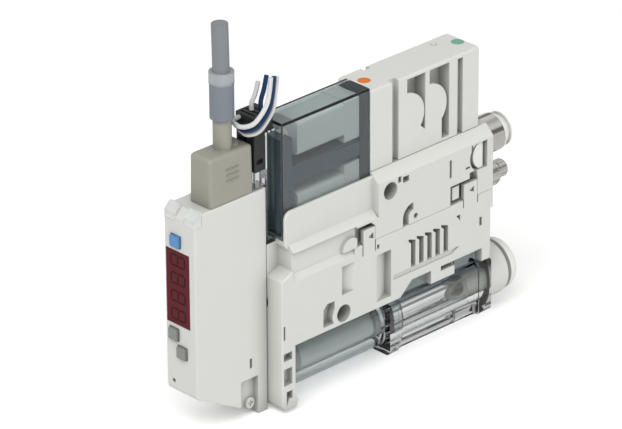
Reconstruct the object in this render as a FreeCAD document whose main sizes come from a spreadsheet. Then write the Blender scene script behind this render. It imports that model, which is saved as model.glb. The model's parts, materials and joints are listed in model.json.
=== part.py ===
import FreeCAD, Part
import math
import os
import re
import Sketcher

# Vacuum ejector: an in-line ejector body with a digital pressure switch in front, a twin pilot
# valve on top, a clear suction filter underneath and three ports at the rear.
# Lengths are in millimetres.  The sheet measures x rearwards from the face of the switch and
# z upwards from the foot of that face; y = 0 is the middle of the body.  Every part is placed
# so that the lower fixing hole's centre is the origin of the document.

SIZES = {
    # Clearances.
    "fit": 0.05,
    "gap": 0.1,
    "slide": 0.12,
    # Fixing holes.
    "fixing_x": 41.5,
    "fixing_z": 9.7,
    "fixing_radius": 2.15,
    "fixing_pitch_x": 15.0,
    "fixing_pitch_z": 26.0,
    # Ejector housing.
    "body_half": 7.75,
    "body_front": 22.0,
    "body_back": 90.3,
    "housing_back": 89.5,
    "back_step_z": 20.0,
    "housing_bottom": 6.9,
    "seam_z": 25.0,
    "slope_drop": 0.6,
    "slope_rise": 1.0,
    "shoulder_x": 25.8,
    "foot_back": 26.3,
    "foot_bottom": -8.8,
    "foot_round": 1.6,
    "housing_round": 0.35,
    "foot_heel": 0.9,
    "foot_heel_top": -5.8,
    "window_front": 22.5,
    "window_back": 25.1,
    "window_depth": 1.6,
    "upper_window_bottom": 4.0,
    "upper_window_top": 6.0,
    "lower_window_bottom": -2.3,
    "lower_window_top": 2.0,
    "key_bottom": -7.7,
    "key_top": -4.0,
    "key_neck_x": 24.1,
    "key_neck_z": -6.0,
    "corner_slot_width": 0.5,
    "corner_slot_bottom": 9.5,
    "corner_slot_top": 13.0,
    "shelf_bottom": 23.2,
    "shelf_back": 45.0,
    "field_depth": 0.8,
    "recess_depth": 2.0,
    "corner_cut": 1.2,
    "ramp_front": 41.0,
    "ramp_back": 45.0,
    "ramp_bottom": 14.5,
    "ramp_top": 21.7,
    "rear_ramp_front": 52.0,
    "rear_ramp_back": 56.7,
    "rear_ramp_bottom": 8.7,
    "rear_ramp_top": 20.7,
    "crescent_front": 35.0,
    "crescent_back": 38.6,
    "crescent_bottom": 8.2,
    "crescent_top": 13.9,
    "crescent_boss": 3.6,
    "groove_front": 57.5,
    "groove_back": 79.0,
    "groove_bottom": 12.5,
    "groove_top": 13.7,
    "groove_depth": 0.3,
    "groove_point": 2.4,
    "notch_front": 59.5,
    "notch_slope": 4.0,
    "notch_top": 10.5,
    "notch_back": 69.8,
    "tongue_root": 73.0,
    "tongue_back": 77.5,
    "tongue_top": 9.3,
    "notch_end": 86.6,
    "vent_front": 63.9,
    "vent_width": 1.5,
    "vent_pitch": 2.67,
    "vent_count": 5.0,
    "vent_bottom": 13.8,
    "vent_top": 20.4,
    "vent_hook": 0.8,
    "vent_depth": 4.6,
    "slot_a_x": 85.7,
    "slot_a_z": 16.6,
    "slot_a_width": 0.8,
    "slot_a_height": 2.2,
    "slot_b_x": 78.0,
    "slot_b_z": 20.2,
    "slot_b_width": 1.3,
    "slot_b_height": 1.6,
    "slot_c_x": 52.2,
    "slot_c_z": 22.3,
    "slot_c_width": 0.7,
    "slot_c_height": 1.1,
    # Snap hooks that hold the manifold down on the housing.
    "hook_front": 47.8,
    "hook_back": 51.5,
    "hook_root": 22.0,
    "hook_top": 28.5,
    "hook_thickness": 1.0,
    "hook_slit": 0.3,
    "hook_recess_front": 45.8,
    "hook_recess_top": 29.8,
    "hook_window_front": 49.4,
    "hook_window_back": 51.0,
    "hook_window_bottom": 25.5,
    "hook_window_top": 27.2,
    "rear_hook_front": 80.5,
    "rear_hook_back": 84.9,
    "rear_hook_root": 23.0,
    "rear_hook_top": 29.0,
    "rear_hook_recess_front": 76.0,
    "rear_hook_recess_top": 30.0,
    "peg_front": 77.0,
    "peg_back": 79.2,
    "peg_bottom": 26.0,
    "peg_top": 29.2,
    "peg_sink": 0.4,
    "rear_hook_window_front": 82.3,
    "rear_hook_window_back": 83.8,
    "rear_hook_window_bottom": 26.2,
    "rear_hook_window_top": 27.7,
    # Ejector cartridge inside the housing.
    "bore_z": 17.9,
    "bore_radius": 3.2,
    "chamber_front": 58.0,
    "chamber_back": 78.5,
    "chamber_radius": 4.0,
    "end_plug_length": 4.0,
    "end_plug_socket": 1.0,
    "end_plug_socket_depth": 2.0,
    "nozzle_front": 29.4,
    "nozzle_flange": 2.1,
    "nozzle_tip_x": 37.6,
    "nozzle_tip_radius": 1.3,
    "nozzle_throat": 0.5,
    "nozzle_inlet": 1.6,
    "diffuser_front": 38.4,
    "diffuser_mouth": 1.9,
    "diffuser_throat": 0.9,
    "diffuser_throat_x": 46.0,
    "diffuser_outlet": 1.5,
    "silencer_length": 19.0,
    "silencer_wall": 1.4,
    "supply_drop_x": 27.7,
    "drop_radius": 1.0,
    "suction_x": 34.5,
    "suction_radius": 1.4,
    "check_radius": 2.6,
    "check_chamber_top": 12.4,
    "check_disc_radius": 2.2,
    "check_disc_thickness": 1.2,
    "check_stem_radius": 0.7,
    "check_stem_top": 13.6,
    "sense_y": 1.95,
    "sense_z": 11.2,
    "sense_radius": 0.9,
    # Manifold.
    "apron_front": 24.8,
    "apron_half": 6.1,
    "apron_top": 40.3,
    "apron_round": 2.0,
    "apron_bottom": 30.3,
    "apron_bevel": 1.7,
    "rear_block_front": 52.4,
    "rear_bevel": 0.3,
    "cheek_top": 38.6,
    "manifold_round": 0.4,
    "deck_z": 41.0,
    "nose_half": 2.9,
    "nose_top": 32.3,
    "field_back": 45.8,
    "dome_x": 44.0,
    "dome_z": 25.3,
    "dome_radius": 2.7,
    "needle_z": 24.1,
    "needle_block_front": 80.0,
    "needle_block_half": 4.2,
    "needle_block_bottom": 20.4,
    "clip_front": 84.5,
    "clip_length": 3.6,
    "clip_bottom": 31.3,
    "clip_top": 38.2,
    "clip_bulge": 3.9,
    "clip_face": 7.3,
    "clip_back_face": 5.0,
    "clip_face_lead": 1.2,
    "clip_face_length": 1.3,
    "clip_leg_lead": 1.0,
    "clip_leg_length": 1.5,
    "clip_leg_end": 3.0,
    "clip_leg_thickness": 0.75,
    "clip_bar": 0.35,
    "slit_x": 75.7,
    "slit_width": 0.7,
    "slit_bottom": 32.3,
    "slit_top": 36.8,
    "slit_depth": 0.8,
    "j_front": 81.0,
    "j_back": 83.4,
    "j_bottom": 32.7,
    "j_top": 38.2,
    "j_width": 0.5,
    "moon_front": 60.5,
    "moon_bottom": 24.6,
    "moon_middle": 26.9,
    "moon_width": 1.9,
    "moon_radius": 3.4,
    "pin_mark_x": 64.7,
    "pin_mark_z": 26.6,
    "pin_mark_radius": 0.65,
    "nick_front": 59.0,
    "nick_back": 62.5,
    "nick_bottom": 36.3,
    "nick_top": 38.3,
    "nick_rib": 0.5,
    "lug_recess_front": 82.3,
    "lug_recess_back": 84.8,
    "lug_recess_top": 31.5,
    "gallery_z": 28.4,
    "riser_a_x": 62.0,
    "riser_b_x": 70.5,
    "riser_c_x": 82.0,
    "riser_radius": 1.0,
    "supply_gallery_front": 69.0,
    "supply_gallery_radius": 1.6,
    # Valve.
    "valve_half": 5.35,
    "valve_back": 87.7,
    "valve_bottom": 41.15,
    "valve_top": 61.3,
    "valve_round": 0.5,
    "gasket_front": 58.5,
    "gasket_back": 84.5,
    "gasket_half": 3.4,
    "gasket_depth": 0.6,
    "valve_groove_front": 59.4,
    "valve_groove_width": 2.0,
    "valve_groove_depth": 1.5,
    "valve_rear_groove_front": 80.5,
    "valve_rear_groove_width": 1.7,
    "pocket_depth": 3.5,
    "pocket_a_front": 64.15,
    "pocket_a_back": 70.0,
    "pocket_a_bottom": 46.1,
    "pocket_b_front": 71.4,
    "pocket_b_back": 77.8,
    "pocket_b_foot": 75.4,
    "pocket_b_bottom": 41.9,
    "pocket_top": 60.4,
    "pocket_boss_z": 51.0,
    "pocket_boss_radius": 5.9,
    "pocket_boss_lead": 0.35,
    "supply_override_x": 55.6,
    "release_override_x": 85.8,
    "override_radius": 1.45,
    "override_length": 1.6,
    "override_travel": 0.6,
    "bump_x": 80.75,
    "bump_y": 2.7,
    "bump_radius": 0.6,
    "bump_height": 0.3,
    "spool_y": 1.2,
    "supply_spool_z": 56.0,
    "release_spool_z": 47.0,
    "spool_bore": 2.2,
    "spool_bore_back": 80.0,
    "spool_front": 53.0,
    "spool_length": 25.4,
    "spool_waist": 1.2,
    "spool_land": 3.0,
    "spool_running": 0.04,
    # Pilot valves and their cover.
    "cover_front": 21.95,
    "cover_step_x": 24.8,
    "cover_back": 52.2,
    "cover_half": 5.35,
    "cover_nose_half": 2.9,
    "cover_wall": 0.8,
    "cover_round": 0.5,
    "cover_bottom": 33.0,
    "cover_nose_bottom": 32.4,
    "cover_nose_top": 60.5,
    "cover_top": 62.1,
    "cover_bevel_y": 2.4,
    "cover_lip_front": 18.8,
    "cover_lip_bottom": 47.6,
    "cover_lip_top": 51.3,
    "adapter_front": 49.6,
    "adapter_half": 4.45,
    "adapter_bottom": 33.0,
    "adapter_window_half": 1.2,
    "frame_front": 25.7,
    "frame_bottom": 45.6,
    "frame_top": 50.2,
    "frame_half": 4.3,
    "frame_slot_front": 42.0,
    "frame_slot_depth": 0.5,
    "frame_block_back": 28.4,
    "frame_block_bottom": 34.0,
    "frame_block_top": 57.6,
    "coil_front": 30.2,
    "coil_back": 44.8,
    "coil_half": 4.2,
    "coil_round": 0.9,
    "coil_bevel": 2.0,
    "upper_coil_bottom": 52.3,
    "upper_coil_top": 60.5,
    "lower_coil_bottom": 34.6,
    "lower_coil_top": 42.9,
    "core_radius": 1.3,
    "core_lead": 1.6,
    "upper_pilot_bottom": 50.7,
    "upper_pilot_top": 60.7,
    "lower_pilot_bottom": 34.6,
    "lower_pilot_top": 45.1,
    # Plug connectors and lead wires.
    "plug_front": 18.6,
    "plug_back": 21.85,
    "plug_half": 2.9,
    "plug_bottom": 51.35,
    "plug_top": 60.55,
    "plug_slot": 0.6,
    "top_plug_front": 18.4,
    "top_plug_back": 24.3,
    "top_plug_top": 65.0,
    "plug_slot_depth": 0.7,
    "plug_slot_pitch": 1.5,
    "plug_slot_first": 19.1,
    "lead_radius": 0.55,
    # Pressure switch.
    "switch_back": 20.5,
    "switch_end": 21.9,
    "switch_near": -3.05,
    "switch_far": 6.95,
    "switch_top": 46.8,
    "switch_brow_x": 2.0,
    "switch_brow_z": 44.7,
    "switch_chin": 2.0,
    "switch_heel_x": 19.0,
    "switch_heel_z": -9.6,
    "switch_wall": 1.0,
    "switch_round": 0.4,
    "switch_face_wall": 1.6,
    "switch_floor": 2.2,
    "switch_ceiling": 45.6,
    "display_near": -1.1,
    "display_far": 6.7,
    "display_bottom": 17.8,
    "display_top": 36.5,
    "display_depth": 0.8,
    "display_frame": 1.1,
    "button_lift": 0.7,
    "button_flange": 0.5,
    "button_flange_depth": 0.6,
    "button_rest": 0.05,
    "button_stem": 1.0,
    "button_stem_length": 1.4,
    "set_y": 3.2,
    "set_z": 38.9,
    "set_width": 3.1,
    "set_height": 2.9,
    "set_flange_far": 0.2,
    "up_y": 4.2,
    "up_z": 15.3,
    "down_y": 1.6,
    "down_z": 11.3,
    "arrow_size": 3.0,
    "key_round": 0.5,
    "vent_dot_y": 4.6,
    "vent_dot_z": 3.2,
    "vent_dot_radius": 0.5,
    "lens_depth": 2.2,
    "lens_width": 3.5,
    "lens_bottom": 43.7,
    "lens_top": 47.3,
    "lens_brow": 1.6,
    "socket_front": 6.4,
    "socket_back": 17.3,
    "socket_near": -1.7,
    "socket_far": 3.2,
    "socket_bottom": 40.5,
    "side_slot_x": 16.3,
    "side_slot_z": 2.9,
    "side_slot_width": 0.7,
    "side_slot_height": 2.5,
    "screw_bay_front": 13.5,
    "screw_bay_back": 18.8,
    "screw_bay_top": 0.4,
    "screw_bay_depth": 1.6,
    "screw_x": 17.0,
    "screw_z": -6.4,
    "screw_head_radius": 1.35,
    "screw_head_height": 0.9,
    "screw_radius": 0.75,
    "screw_length": 6.0,
    "screw_cross": 0.4,
    "screw_cross_depth": 0.4,
    "board_front": 4.1,
    "board_thickness": 1.0,
    "board_bottom": 2.4,
    "board_top": 40.0,
    "board_margin": 0.1,
    "tact_size": 2.6,
    "sensor_back": 11.0,
    "sensor_half": 2.6,
    "sensor_height": 6.4,
    "sensor_pipe_radius": 0.85,
    "sensor_pipe_bore": 0.4,
    "seal_radius": 2.0,
    "seal_bore": 1.1,
    "seal_depth": 1.0,
    # Switch connector and cable.
    "boot_front": 5.2,
    "boot_back": 18.5,
    "boot_near": -2.75,
    "boot_far": 4.25,
    "boot_top": 58.7,
    "boot_round": 0.9,
    "boot_taper": 0.7,
    "neck_x": 12.3,
    "neck_y": 0.75,
    "neck_radius": 2.15,
    "neck_top": 66.2,
    "neck_floor": 58.9,
    "lump_x": 15.2,
    "lump_radius": 1.5,
    "lump_height": 0.6,
    "sleeve_radius": 2.8,
    "sleeve_length": 8.5,
    "clear_radius": 2.9,
    "clear_play": 0.2,
    "clear_length": 2.7,
    "cable_radius": 1.95,
    "cable_bend_z": 76.6,
    "cable_end_z": 89.0,
    "cable_lean": 0.35,
    # Suction filter.
    "filter_z": -0.5,
    "case_front": 26.35,
    "case_half": 5.9,
    "case_bottom": -5.6,
    "case_top": 5.4,
    "case_round": 3.0,
    "case_end_wall": 1.9,
    "case_bore": 4.7,
    "case_shoulder": 56.6,
    "rail_half": 4.6,
    "rail_front": 30.0,
    "spigot_radius": 5.3,
    "spigot_end": 62.0,
    "spigot_groove_front": 57.6,
    "spigot_groove_back": 59.2,
    "spigot_groove_radius": 4.9,
    "ring_clear": 0.05,
    "flange_front": 56.65,
    "flange_back": 59.5,
    "flange_half": 7.5,
    "flange_bottom": -7.3,
    "port_case_half": 7.3,
    "port_case_bottom": -7.0,
    "port_case_top": 5.5,
    "port_case_back": 86.0,
    "end_flange_back": 90.0,
    "end_flange_half": 7.6,
    "end_flange_bottom": -7.2,
    "end_flange_top": 6.8,
    "port_case_round": 1.2,
    "chamber_bore": 4.9,
    "element_radius": 3.7,
    "element_bore": 2.2,
    "element_front": 30.4,
    "element_length": 24.0,
    "element_cap": 1.6,
    "element_post": 2.1,
    "case_bar": 1.0,
    "case_bar_z": -2.9,
    # Rear ports.
    "supply_port_z": 34.5,
    "supply_bore": 4.75,
    "supply_seat_lead": 2.5,
    "supply_body_radius": 4.65,
    "supply_body_back": 97.4,
    "supply_tube": 3.0,
    "supply_floor_lead": 2.0,
    "supply_groove_radius": 3.9,
    "supply_bush_bore": 3.1,
    "supply_bush_radius": 3.7,
    "supply_bush_depth": 2.0,
    "supply_bush_rim": 4.2,
    "supply_bush_reach": 3.0,
    "ring_length": 1.3,
    "ring_radius": 4.5,
    "bush_travel": 0.8,
    "bush_gap": 1.0,
    "vacuum_z": -0.5,
    "vacuum_spigot_length": 6.0,
    "vacuum_body_back": 97.2,
    "vacuum_body_radius": 6.8,
    "vacuum_spigot_radius": 4.95,
    "vacuum_tube": 4.0,
    "vacuum_floor_lead": 1.4,
    "vacuum_bush_bore": 4.1,
    "vacuum_bush_radius": 4.8,
    "vacuum_bush_depth": 2.2,
    "vacuum_bush_rim": 6.4,
    "vacuum_bush_reach": 4.0,
    "vacuum_rim_length": 2.8,
    "needle_bush_front": 84.0,
    "needle_bush_reach": 0.4,
    "needle_bush_radius": 2.3,
    "needle_bush_bore": 1.2,
    "nut_front": 90.4,
    "nut_back": 97.7,
    "nut_radius": 3.2,
    "knob_lead": 0.3,
    "knob_length": 2.8,
    "knob_radius": 2.1,
    "needle_stem": 1.0,
    "needle_orifice": 0.7,
    "needle_point_lead": 0.8,
    "needle_point_length": 1.6,
}

# Places that follow another size; each is worked out in the sheet.
TIES = {
    "clip_back": "clip_front + clip_length",
    "clip_leg_front": "clip_front + clip_leg_lead",
    "clip_leg_back": "clip_leg_front + clip_leg_length",
    "clip_face_front": "clip_front + clip_face_lead",
    "clip_face_back": "clip_face_front + clip_face_length",
    "supply_seat_x": "clip_leg_front - supply_seat_lead",
    "supply_tube_floor": "supply_seat_x + supply_floor_lead",
    "supply_bush_front": "supply_body_back - supply_bush_depth",
    "supply_bush_back": "supply_body_back + supply_bush_reach",
    "vacuum_body_front": "end_flange_back - vacuum_spigot_length",
    "vacuum_tube_floor": "vacuum_body_front + vacuum_floor_lead",
    "vacuum_bush_front": "vacuum_body_back - vacuum_bush_depth",
    "vacuum_bush_back": "vacuum_body_back + vacuum_bush_reach",
    "needle_bush_back": "nut_back + needle_bush_reach",
    "knob_front": "needle_bush_back + knob_lead",
    "knob_back": "knob_front + knob_length",
    "needle_point_x": "needle_bush_front - needle_point_lead",
    "needle_tip_x": "needle_point_x - needle_point_length",
    "sleeve_top": "neck_top + sleeve_length",
    "clear_top": "sleeve_top + clear_length",
}

document = FreeCAD.newDocument("VacuumEjector")
sheet = document.addObject("Spreadsheet::Sheet", "Sizes")
for row, (name, number) in enumerate(SIZES.items(), start=1):
    sheet.set(f"A{row}", name)
    sheet.set(f"B{row}", str(number))
    sheet.setAlias(f"B{row}", name)
for row, (name, formula) in enumerate(TIES.items(), start=len(SIZES) + 1):
    sheet.set(f"A{row}", name)
    sheet.set(f"B{row}", "=" + formula)
    sheet.setAlias(f"B{row}", name)
document.recompute()

PARTS = {}
VECTOR = FreeCAD.Vector


def tied(formula):
    """Write a formula of size names so that a feature reads it from the sheet."""
    return re.sub(r"\b[a-z]\w*", r"Sizes.\g<0>", formula)


def value(formula):
    """Work a formula of size names out to a number."""
    return float(sheet.evalExpression(formula))


def new_part(name, x="0", y="0", z="0"):
    """Start a part whose own origin stands at x, y, z of the layout."""
    body = document.addObject("PartDesign::Body", "Body_" + name)
    body.Label = name
    body.setExpression("Placement.Base.x", tied(f"{x} - fixing_x"))
    body.setExpression("Placement.Base.y", tied(y))
    body.setExpression("Placement.Base.z", tied(f"{z} - fixing_z"))
    PARTS[name] = body
    return body


def base_plane(body, role):
    """Find one of the part's own origin planes or axes."""
    return [item for item in body.Origin.OriginFeatures if item.Role == role][0]


def drawing(body, plane, offset):
    """Lay an empty sketch on an origin plane, moved along its normal."""
    sketch = body.newObject("Sketcher::SketchObject", "Sketch")
    sketch.AttachmentSupport = [(base_plane(body, plane + "_Plane"), "")]
    sketch.MapMode = "FlatFace"
    sketch.setExpression("AttachmentOffset.Base.z", tied(offset))
    return sketch


def arc_between(start, end, radius, turn):
    """Draw the shorter arc between two points, turning left or right."""
    half = (end - start) * 0.5
    side = VECTOR(-half.y, half.x, 0).normalize()
    rise = math.sqrt(max(radius * radius - half.Length * half.Length, 0))
    if turn == "right":
        side = side * -1
        start, end = end, start
    centre = (start + end) * 0.5 + side * rise
    first = math.atan2(start.y - centre.y, start.x - centre.x)
    last = math.atan2(end.y - centre.y, end.x - centre.x)
    ring = Part.Circle(centre, VECTOR(0, 0, 1), radius)
    return Part.ArcOfCircle(ring, first, last)


def add_outline(sketch, corners):
    """Close a chain of edges; a corner with a radius and a turn starts an arc."""
    points = [VECTOR(value(c[0]), value(c[1]), 0) for c in corners]
    first = sketch.GeometryCount
    starts = []
    ends = []
    for i, corner in enumerate(corners):
        point = points[i]
        following = points[(i + 1) % len(points)]
        if len(corner) == 2:
            edge = Part.LineSegment(point, following)
            pair = (1, 2)
        else:
            edge = arc_between(point, following, value(corner[2]), corner[3])
            pair = (1, 2) if corner[3] == "left" else (2, 1)
        sketch.addGeometry(edge, False)
        starts.append(pair[0])
        ends.append(pair[1])
    rules = []
    formulas = []
    for i, corner in enumerate(corners):
        here = first + i
        before = first + (i - 1) % len(corners)
        rules.append(Sketcher.Constraint("Coincident", before, ends[i - 1], here, starts[i]))
        formulas.append("")
        rules.append(Sketcher.Constraint("DistanceX", -1, 1, here, starts[i], points[i].x))
        formulas.append(corner[0])
        rules.append(Sketcher.Constraint("DistanceY", -1, 1, here, starts[i], points[i].y))
        formulas.append(corner[1])
        if len(corner) > 2:
            rules.append(Sketcher.Constraint("Radius", here, value(corner[2])))
            formulas.append(corner[2])
    bind(sketch, rules, formulas)


def add_circle(sketch, x, y, radius):
    """Draw a circle held by its centre and radius."""
    here = sketch.GeometryCount
    centre = VECTOR(value(x), value(y), 0)
    sketch.addGeometry(Part.Circle(centre, VECTOR(0, 0, 1), value(radius)), False)
    rules = [
        Sketcher.Constraint("DistanceX", -1, 1, here, 3, centre.x),
        Sketcher.Constraint("DistanceY", -1, 1, here, 3, centre.y),
        Sketcher.Constraint("Radius", here, value(radius)),
    ]
    bind(sketch, rules, [x, y, radius])


def bind(sketch, rules, formulas):
    """Add the constraints and tie each of them to its formula."""
    first = sketch.ConstraintCount
    sketch.addConstraint(rules)
    for i, formula in enumerate(formulas):
        if formula:
            sketch.setExpression(f"Constraints[{first + i}]", tied(formula))


def fill(sketch, shapes):
    """Draw every shape: three formulas make a circle, a list makes an outline."""
    for shape in shapes:
        if isinstance(shape, tuple):
            add_circle(sketch, *shape)
        else:
            add_outline(sketch, shape)


def box(x0, x1, y0, y1):
    """Corners of a rectangle."""
    return [(x0, y0), (x1, y0), (x1, y1), (x0, y1)]


def solid(body, plane, start, end, *shapes):
    """Add material from start to end along the normal axis of the plane."""
    offset = f"-({start})" if plane == "XZ" else start
    sketch = drawing(body, plane, offset)
    fill(sketch, shapes)
    pad = body.newObject("PartDesign::Pad", "Pad")
    pad.Profile = sketch
    pad.Reversed = plane == "XZ"
    pad.setExpression("Length", tied(f"({end}) - ({start})"))
    return pad


def hollow(body, plane, start, end, *shapes):
    """Remove material from start to end along the normal axis of the plane."""
    offset = f"-({start})" if plane == "XZ" else start
    sketch = drawing(body, plane, offset)
    fill(sketch, shapes)
    pocket = body.newObject("PartDesign::Pocket", "Pocket")
    pocket.Profile = sketch
    pocket.Reversed = plane != "XZ"
    pocket.setExpression("Length", tied(f"({end}) - ({start})"))
    return pocket


def hollow_sides(body, half, depth, *shapes):
    """Remove the same shapes from the near and the far side."""
    hollow(body, "XZ", f"-{half}", f"{depth} - {half}", *shapes)
    hollow(body, "XZ", f"{half} - {depth}", half, *shapes)


def turned(body, axis, outline):
    """Turn an outline (place along the axis, radius) about the part's own axis."""
    sketch = drawing(body, "XZ", "0")
    if axis == "Z":
        outline = [(radius, place) for place, radius in outline]
    add_outline(sketch, outline)
    turn = body.newObject("PartDesign::Revolution", "Turned")
    turn.Profile = sketch
    turn.ReferenceAxis = (base_plane(body, axis + "_Axis"), [""])
    return turn


def edge_names(shape, wanted):
    """Name the edges whose ends and middle satisfy a test."""
    names = []
    for i, edge in enumerate(shape.Edges, start=1):
        ends = [v.Point for v in edge.Vertexes]
        middle = edge.valueAt((edge.FirstParameter + edge.LastParameter) / 2)
        if wanted(edge, ends + [middle]):
            names.append(f"Edge{i}")
    return names


def soften(body, radius, wanted, kind="Fillet", size="Radius"):
    """Round or bevel the edges of the part's last feature that pass the test."""
    document.recompute()
    last = body.Tip
    names = edge_names(last.Shape, wanted)
    rounding = body.newObject("PartDesign::" + kind, kind)
    rounding.Base = (last, names)
    rounding.setExpression(size, tied(radius))
    return rounding


def near(a, b):
    """Two lengths that are the same to a hundredth."""
    return abs(a - b) < 0.01


def straight_along(edge, axis):
    """An edge that runs straight along x, y or z."""
    if edge.Curve.TypeId != "Part::GeomLine":
        return False
    return abs(getattr(edge.tangentAt(edge.FirstParameter), axis)) > 0.999


# ---------------------------------------------------------------- ejector body

def ejector_housing():
    """Lower moulding: foot, bores, vents, side recesses and snap hooks."""
    body = new_part("ejector_housing")
    solid(body, "XZ", "-body_half", "body_half", [
        ("body_front", "foot_bottom"),
        ("foot_back", "foot_bottom"),
        ("foot_back + foot_heel", "(foot_bottom + foot_heel_top) / 2"),
        ("foot_back", "foot_heel_top"),
        ("foot_back", "housing_bottom"),
        ("housing_back", "housing_bottom"),
        ("housing_back", "back_step_z"),
        ("body_back", "back_step_z"),
        ("body_back", "seam_z"),
        ("shoulder_x", "seam_z"),
        ("shoulder_x", "seam_z + slope_rise"),
        ("body_front", "seam_z - slope_drop"),
    ])
    soften(body, "foot_round", lambda e, p: straight_along(e, "y")
           and all(near(q.x, value("body_front")) and near(q.z, value("foot_bottom")) for q in p))
    soften(body, "housing_round", lambda e, p: all(near(abs(q.y), value("body_half")) for q in p))
    housing_hooks(body)
    housing_bores(body)
    housing_sides(body)
    housing_vents(body)


def hook_outline(front, back, root, top, window_front, window_back, window_bottom, window_top):
    """A hook tongue that passes the seam and the three-cornered window in it."""
    tongue = box(front, back, root, top)
    window = [
        (window_back, window_bottom),
        (window_back, window_top),
        (window_front, f"({window_bottom} + {window_top}) / 2"),
    ]
    return tongue, window


def housing_hooks(body):
    """Tongues that reach up over the seam on both sides."""
    shapes = hook_outline("hook_front", "hook_back", "hook_root", "hook_top",
                          "hook_window_front", "hook_window_back", "hook_window_bottom",
                          "hook_window_top")
    shapes += hook_outline("rear_hook_front", "rear_hook_back", "rear_hook_root",
                           "rear_hook_top", "rear_hook_window_front", "rear_hook_window_back",
                           "rear_hook_window_bottom", "rear_hook_window_top")
    solid(body, "XZ", "-body_half", "hook_thickness - body_half", *shapes)
    solid(body, "XZ", "body_half - hook_thickness", "body_half", *shapes)
    slits = []
    for edge, root in (("hook_front - hook_slit", "hook_root"), ("hook_back", "hook_root"),
                       ("rear_hook_front - hook_slit", "rear_hook_root"),
                       ("rear_hook_back", "rear_hook_root")):
        slits.append(box(edge, f"{edge} + hook_slit", root, "seam_z"))
    hollow_sides(body, "body_half", "recess_depth", *slits)


def housing_bores(body):
    """Fixing hole, ejector bore, silencer chamber, passages and needle block seat."""
    hollow(body, "XZ", "-body_half", "body_half", ("fixing_x", "fixing_z", "fixing_radius"))
    hollow(body, "YZ", "body_front", "chamber_front", ("0", "bore_z", "bore_radius"))
    hollow(body, "YZ", "chamber_front", "chamber_back", ("0", "bore_z", "chamber_radius"))
    hollow(body, "XY", "bore_z", "seam_z", ("supply_drop_x", "0", "drop_radius"))
    hollow(body, "XY", "housing_bottom", "check_chamber_top", ("suction_x", "0", "check_radius"))
    hollow(body, "XY", "check_chamber_top", "bore_z", ("suction_x", "0", "suction_radius"))
    hollow(body, "YZ", "body_front", "suction_x", ("sense_y", "sense_z", "sense_radius"))
    hollow(body, "XY", "needle_block_bottom - fit", "seam_z",
           box("needle_block_front - fit", "body_back", "-(needle_block_half + fit)",
               "needle_block_half + fit"))


def lower_pocket(inset, bottom):
    """Outline of the pocket above the rear case, drawn inwards by an inset."""
    return [
        (f"notch_front + {inset} * 2", bottom),
        (f"notch_end - {inset}", bottom),
        (f"notch_end - {inset}", f"notch_top - {inset}"),
        (f"notch_front + notch_slope + {inset} * 2", f"notch_top - {inset}"),
    ]


def housing_sides(body):
    """Recesses, ramps, notches and slots in the near and far sides."""
    hollow(body, "YZ", "shoulder_x", "shelf_back",
           [("-body_half", "shelf_bottom"), ("field_depth - body_half", "seam_z"),
            ("-body_half", "seam_z")],
           [("body_half", "shelf_bottom"), ("body_half", "seam_z"),
            ("body_half - field_depth", "seam_z")])
    for sign in ("-", ""):
        inner = "recess_depth - body_half" if sign else "body_half - recess_depth"
        hollow(body, "XY", "ramp_bottom", "ramp_top",
               [("ramp_front", f"{sign}body_half"), ("ramp_front", inner),
                ("ramp_back", f"{sign}body_half")])
        hollow(body, "XY", "rear_ramp_bottom", "rear_ramp_top",
               [("rear_ramp_front", f"{sign}body_half"), ("rear_ramp_back", inner),
                ("rear_ramp_back", f"{sign}body_half")])
    crescent = [
        ("crescent_front", "crescent_bottom"),
        ("fixing_x - crescent_boss * 0.905", "crescent_bottom", "crescent_boss", "right"),
        ("crescent_back", "fixing_z + crescent_boss * 0.593"),
        ("crescent_back", "crescent_top"),
        ("crescent_front + corner_cut", "crescent_top"),
        ("crescent_front", "crescent_top - corner_cut"),
    ]
    notch = [
        ("notch_front", "housing_bottom"),
        ("notch_back", "housing_bottom"),
        ("notch_back", "notch_top"),
        ("notch_front + notch_slope", "notch_top"),
    ]
    undercut = [
        ("tongue_root", "tongue_top"),
        ("tongue_back", "tongue_top"),
        ("tongue_back", "housing_bottom"),
        ("notch_end", "housing_bottom"),
        ("notch_end", "notch_top"),
        ("tongue_root", "notch_top"),
    ]
    hollow_sides(body, "body_half", "recess_depth", crescent, notch, undercut)
    hollow(body, "XZ", "-(body_half - recess_depth)", "body_half - recess_depth",
           lower_pocket("0", "housing_bottom"))
    groove = [
        ("groove_front", "groove_bottom"),
        ("groove_back - groove_point", "groove_bottom"),
        ("groove_back", "groove_top"),
        ("groove_front", "groove_top"),
    ]
    hollow_sides(body, "body_half", "groove_depth", groove)
    key = [
        ("key_neck_x - slot_a_width", "key_bottom"),
        ("key_neck_x", "key_neck_z"),
        ("window_back", "key_neck_z"),
        ("window_back", "key_top"),
        ("key_neck_x - slot_a_width", "key_top"),
    ]
    hollow_sides(
        body, "body_half", "window_depth",
        box("window_front", "window_back", "upper_window_bottom", "upper_window_top"),
        box("window_front", "window_back", "lower_window_bottom", "lower_window_top"),
        key,
        box("window_front", "window_front + corner_slot_width", "corner_slot_bottom",
            "corner_slot_top"),
        box("slot_a_x", "slot_a_x + slot_a_width", "slot_a_z", "slot_a_z + slot_a_height"),
        [("slot_b_x", "slot_b_z + slot_b_height"), ("slot_b_x + slot_b_width", "slot_b_z"),
         ("slot_b_x + slot_b_width", "slot_b_z + slot_b_height")],
        box("slot_c_x", "slot_c_x + slot_c_width", "slot_c_z", "slot_c_z + slot_c_height"))


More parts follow.
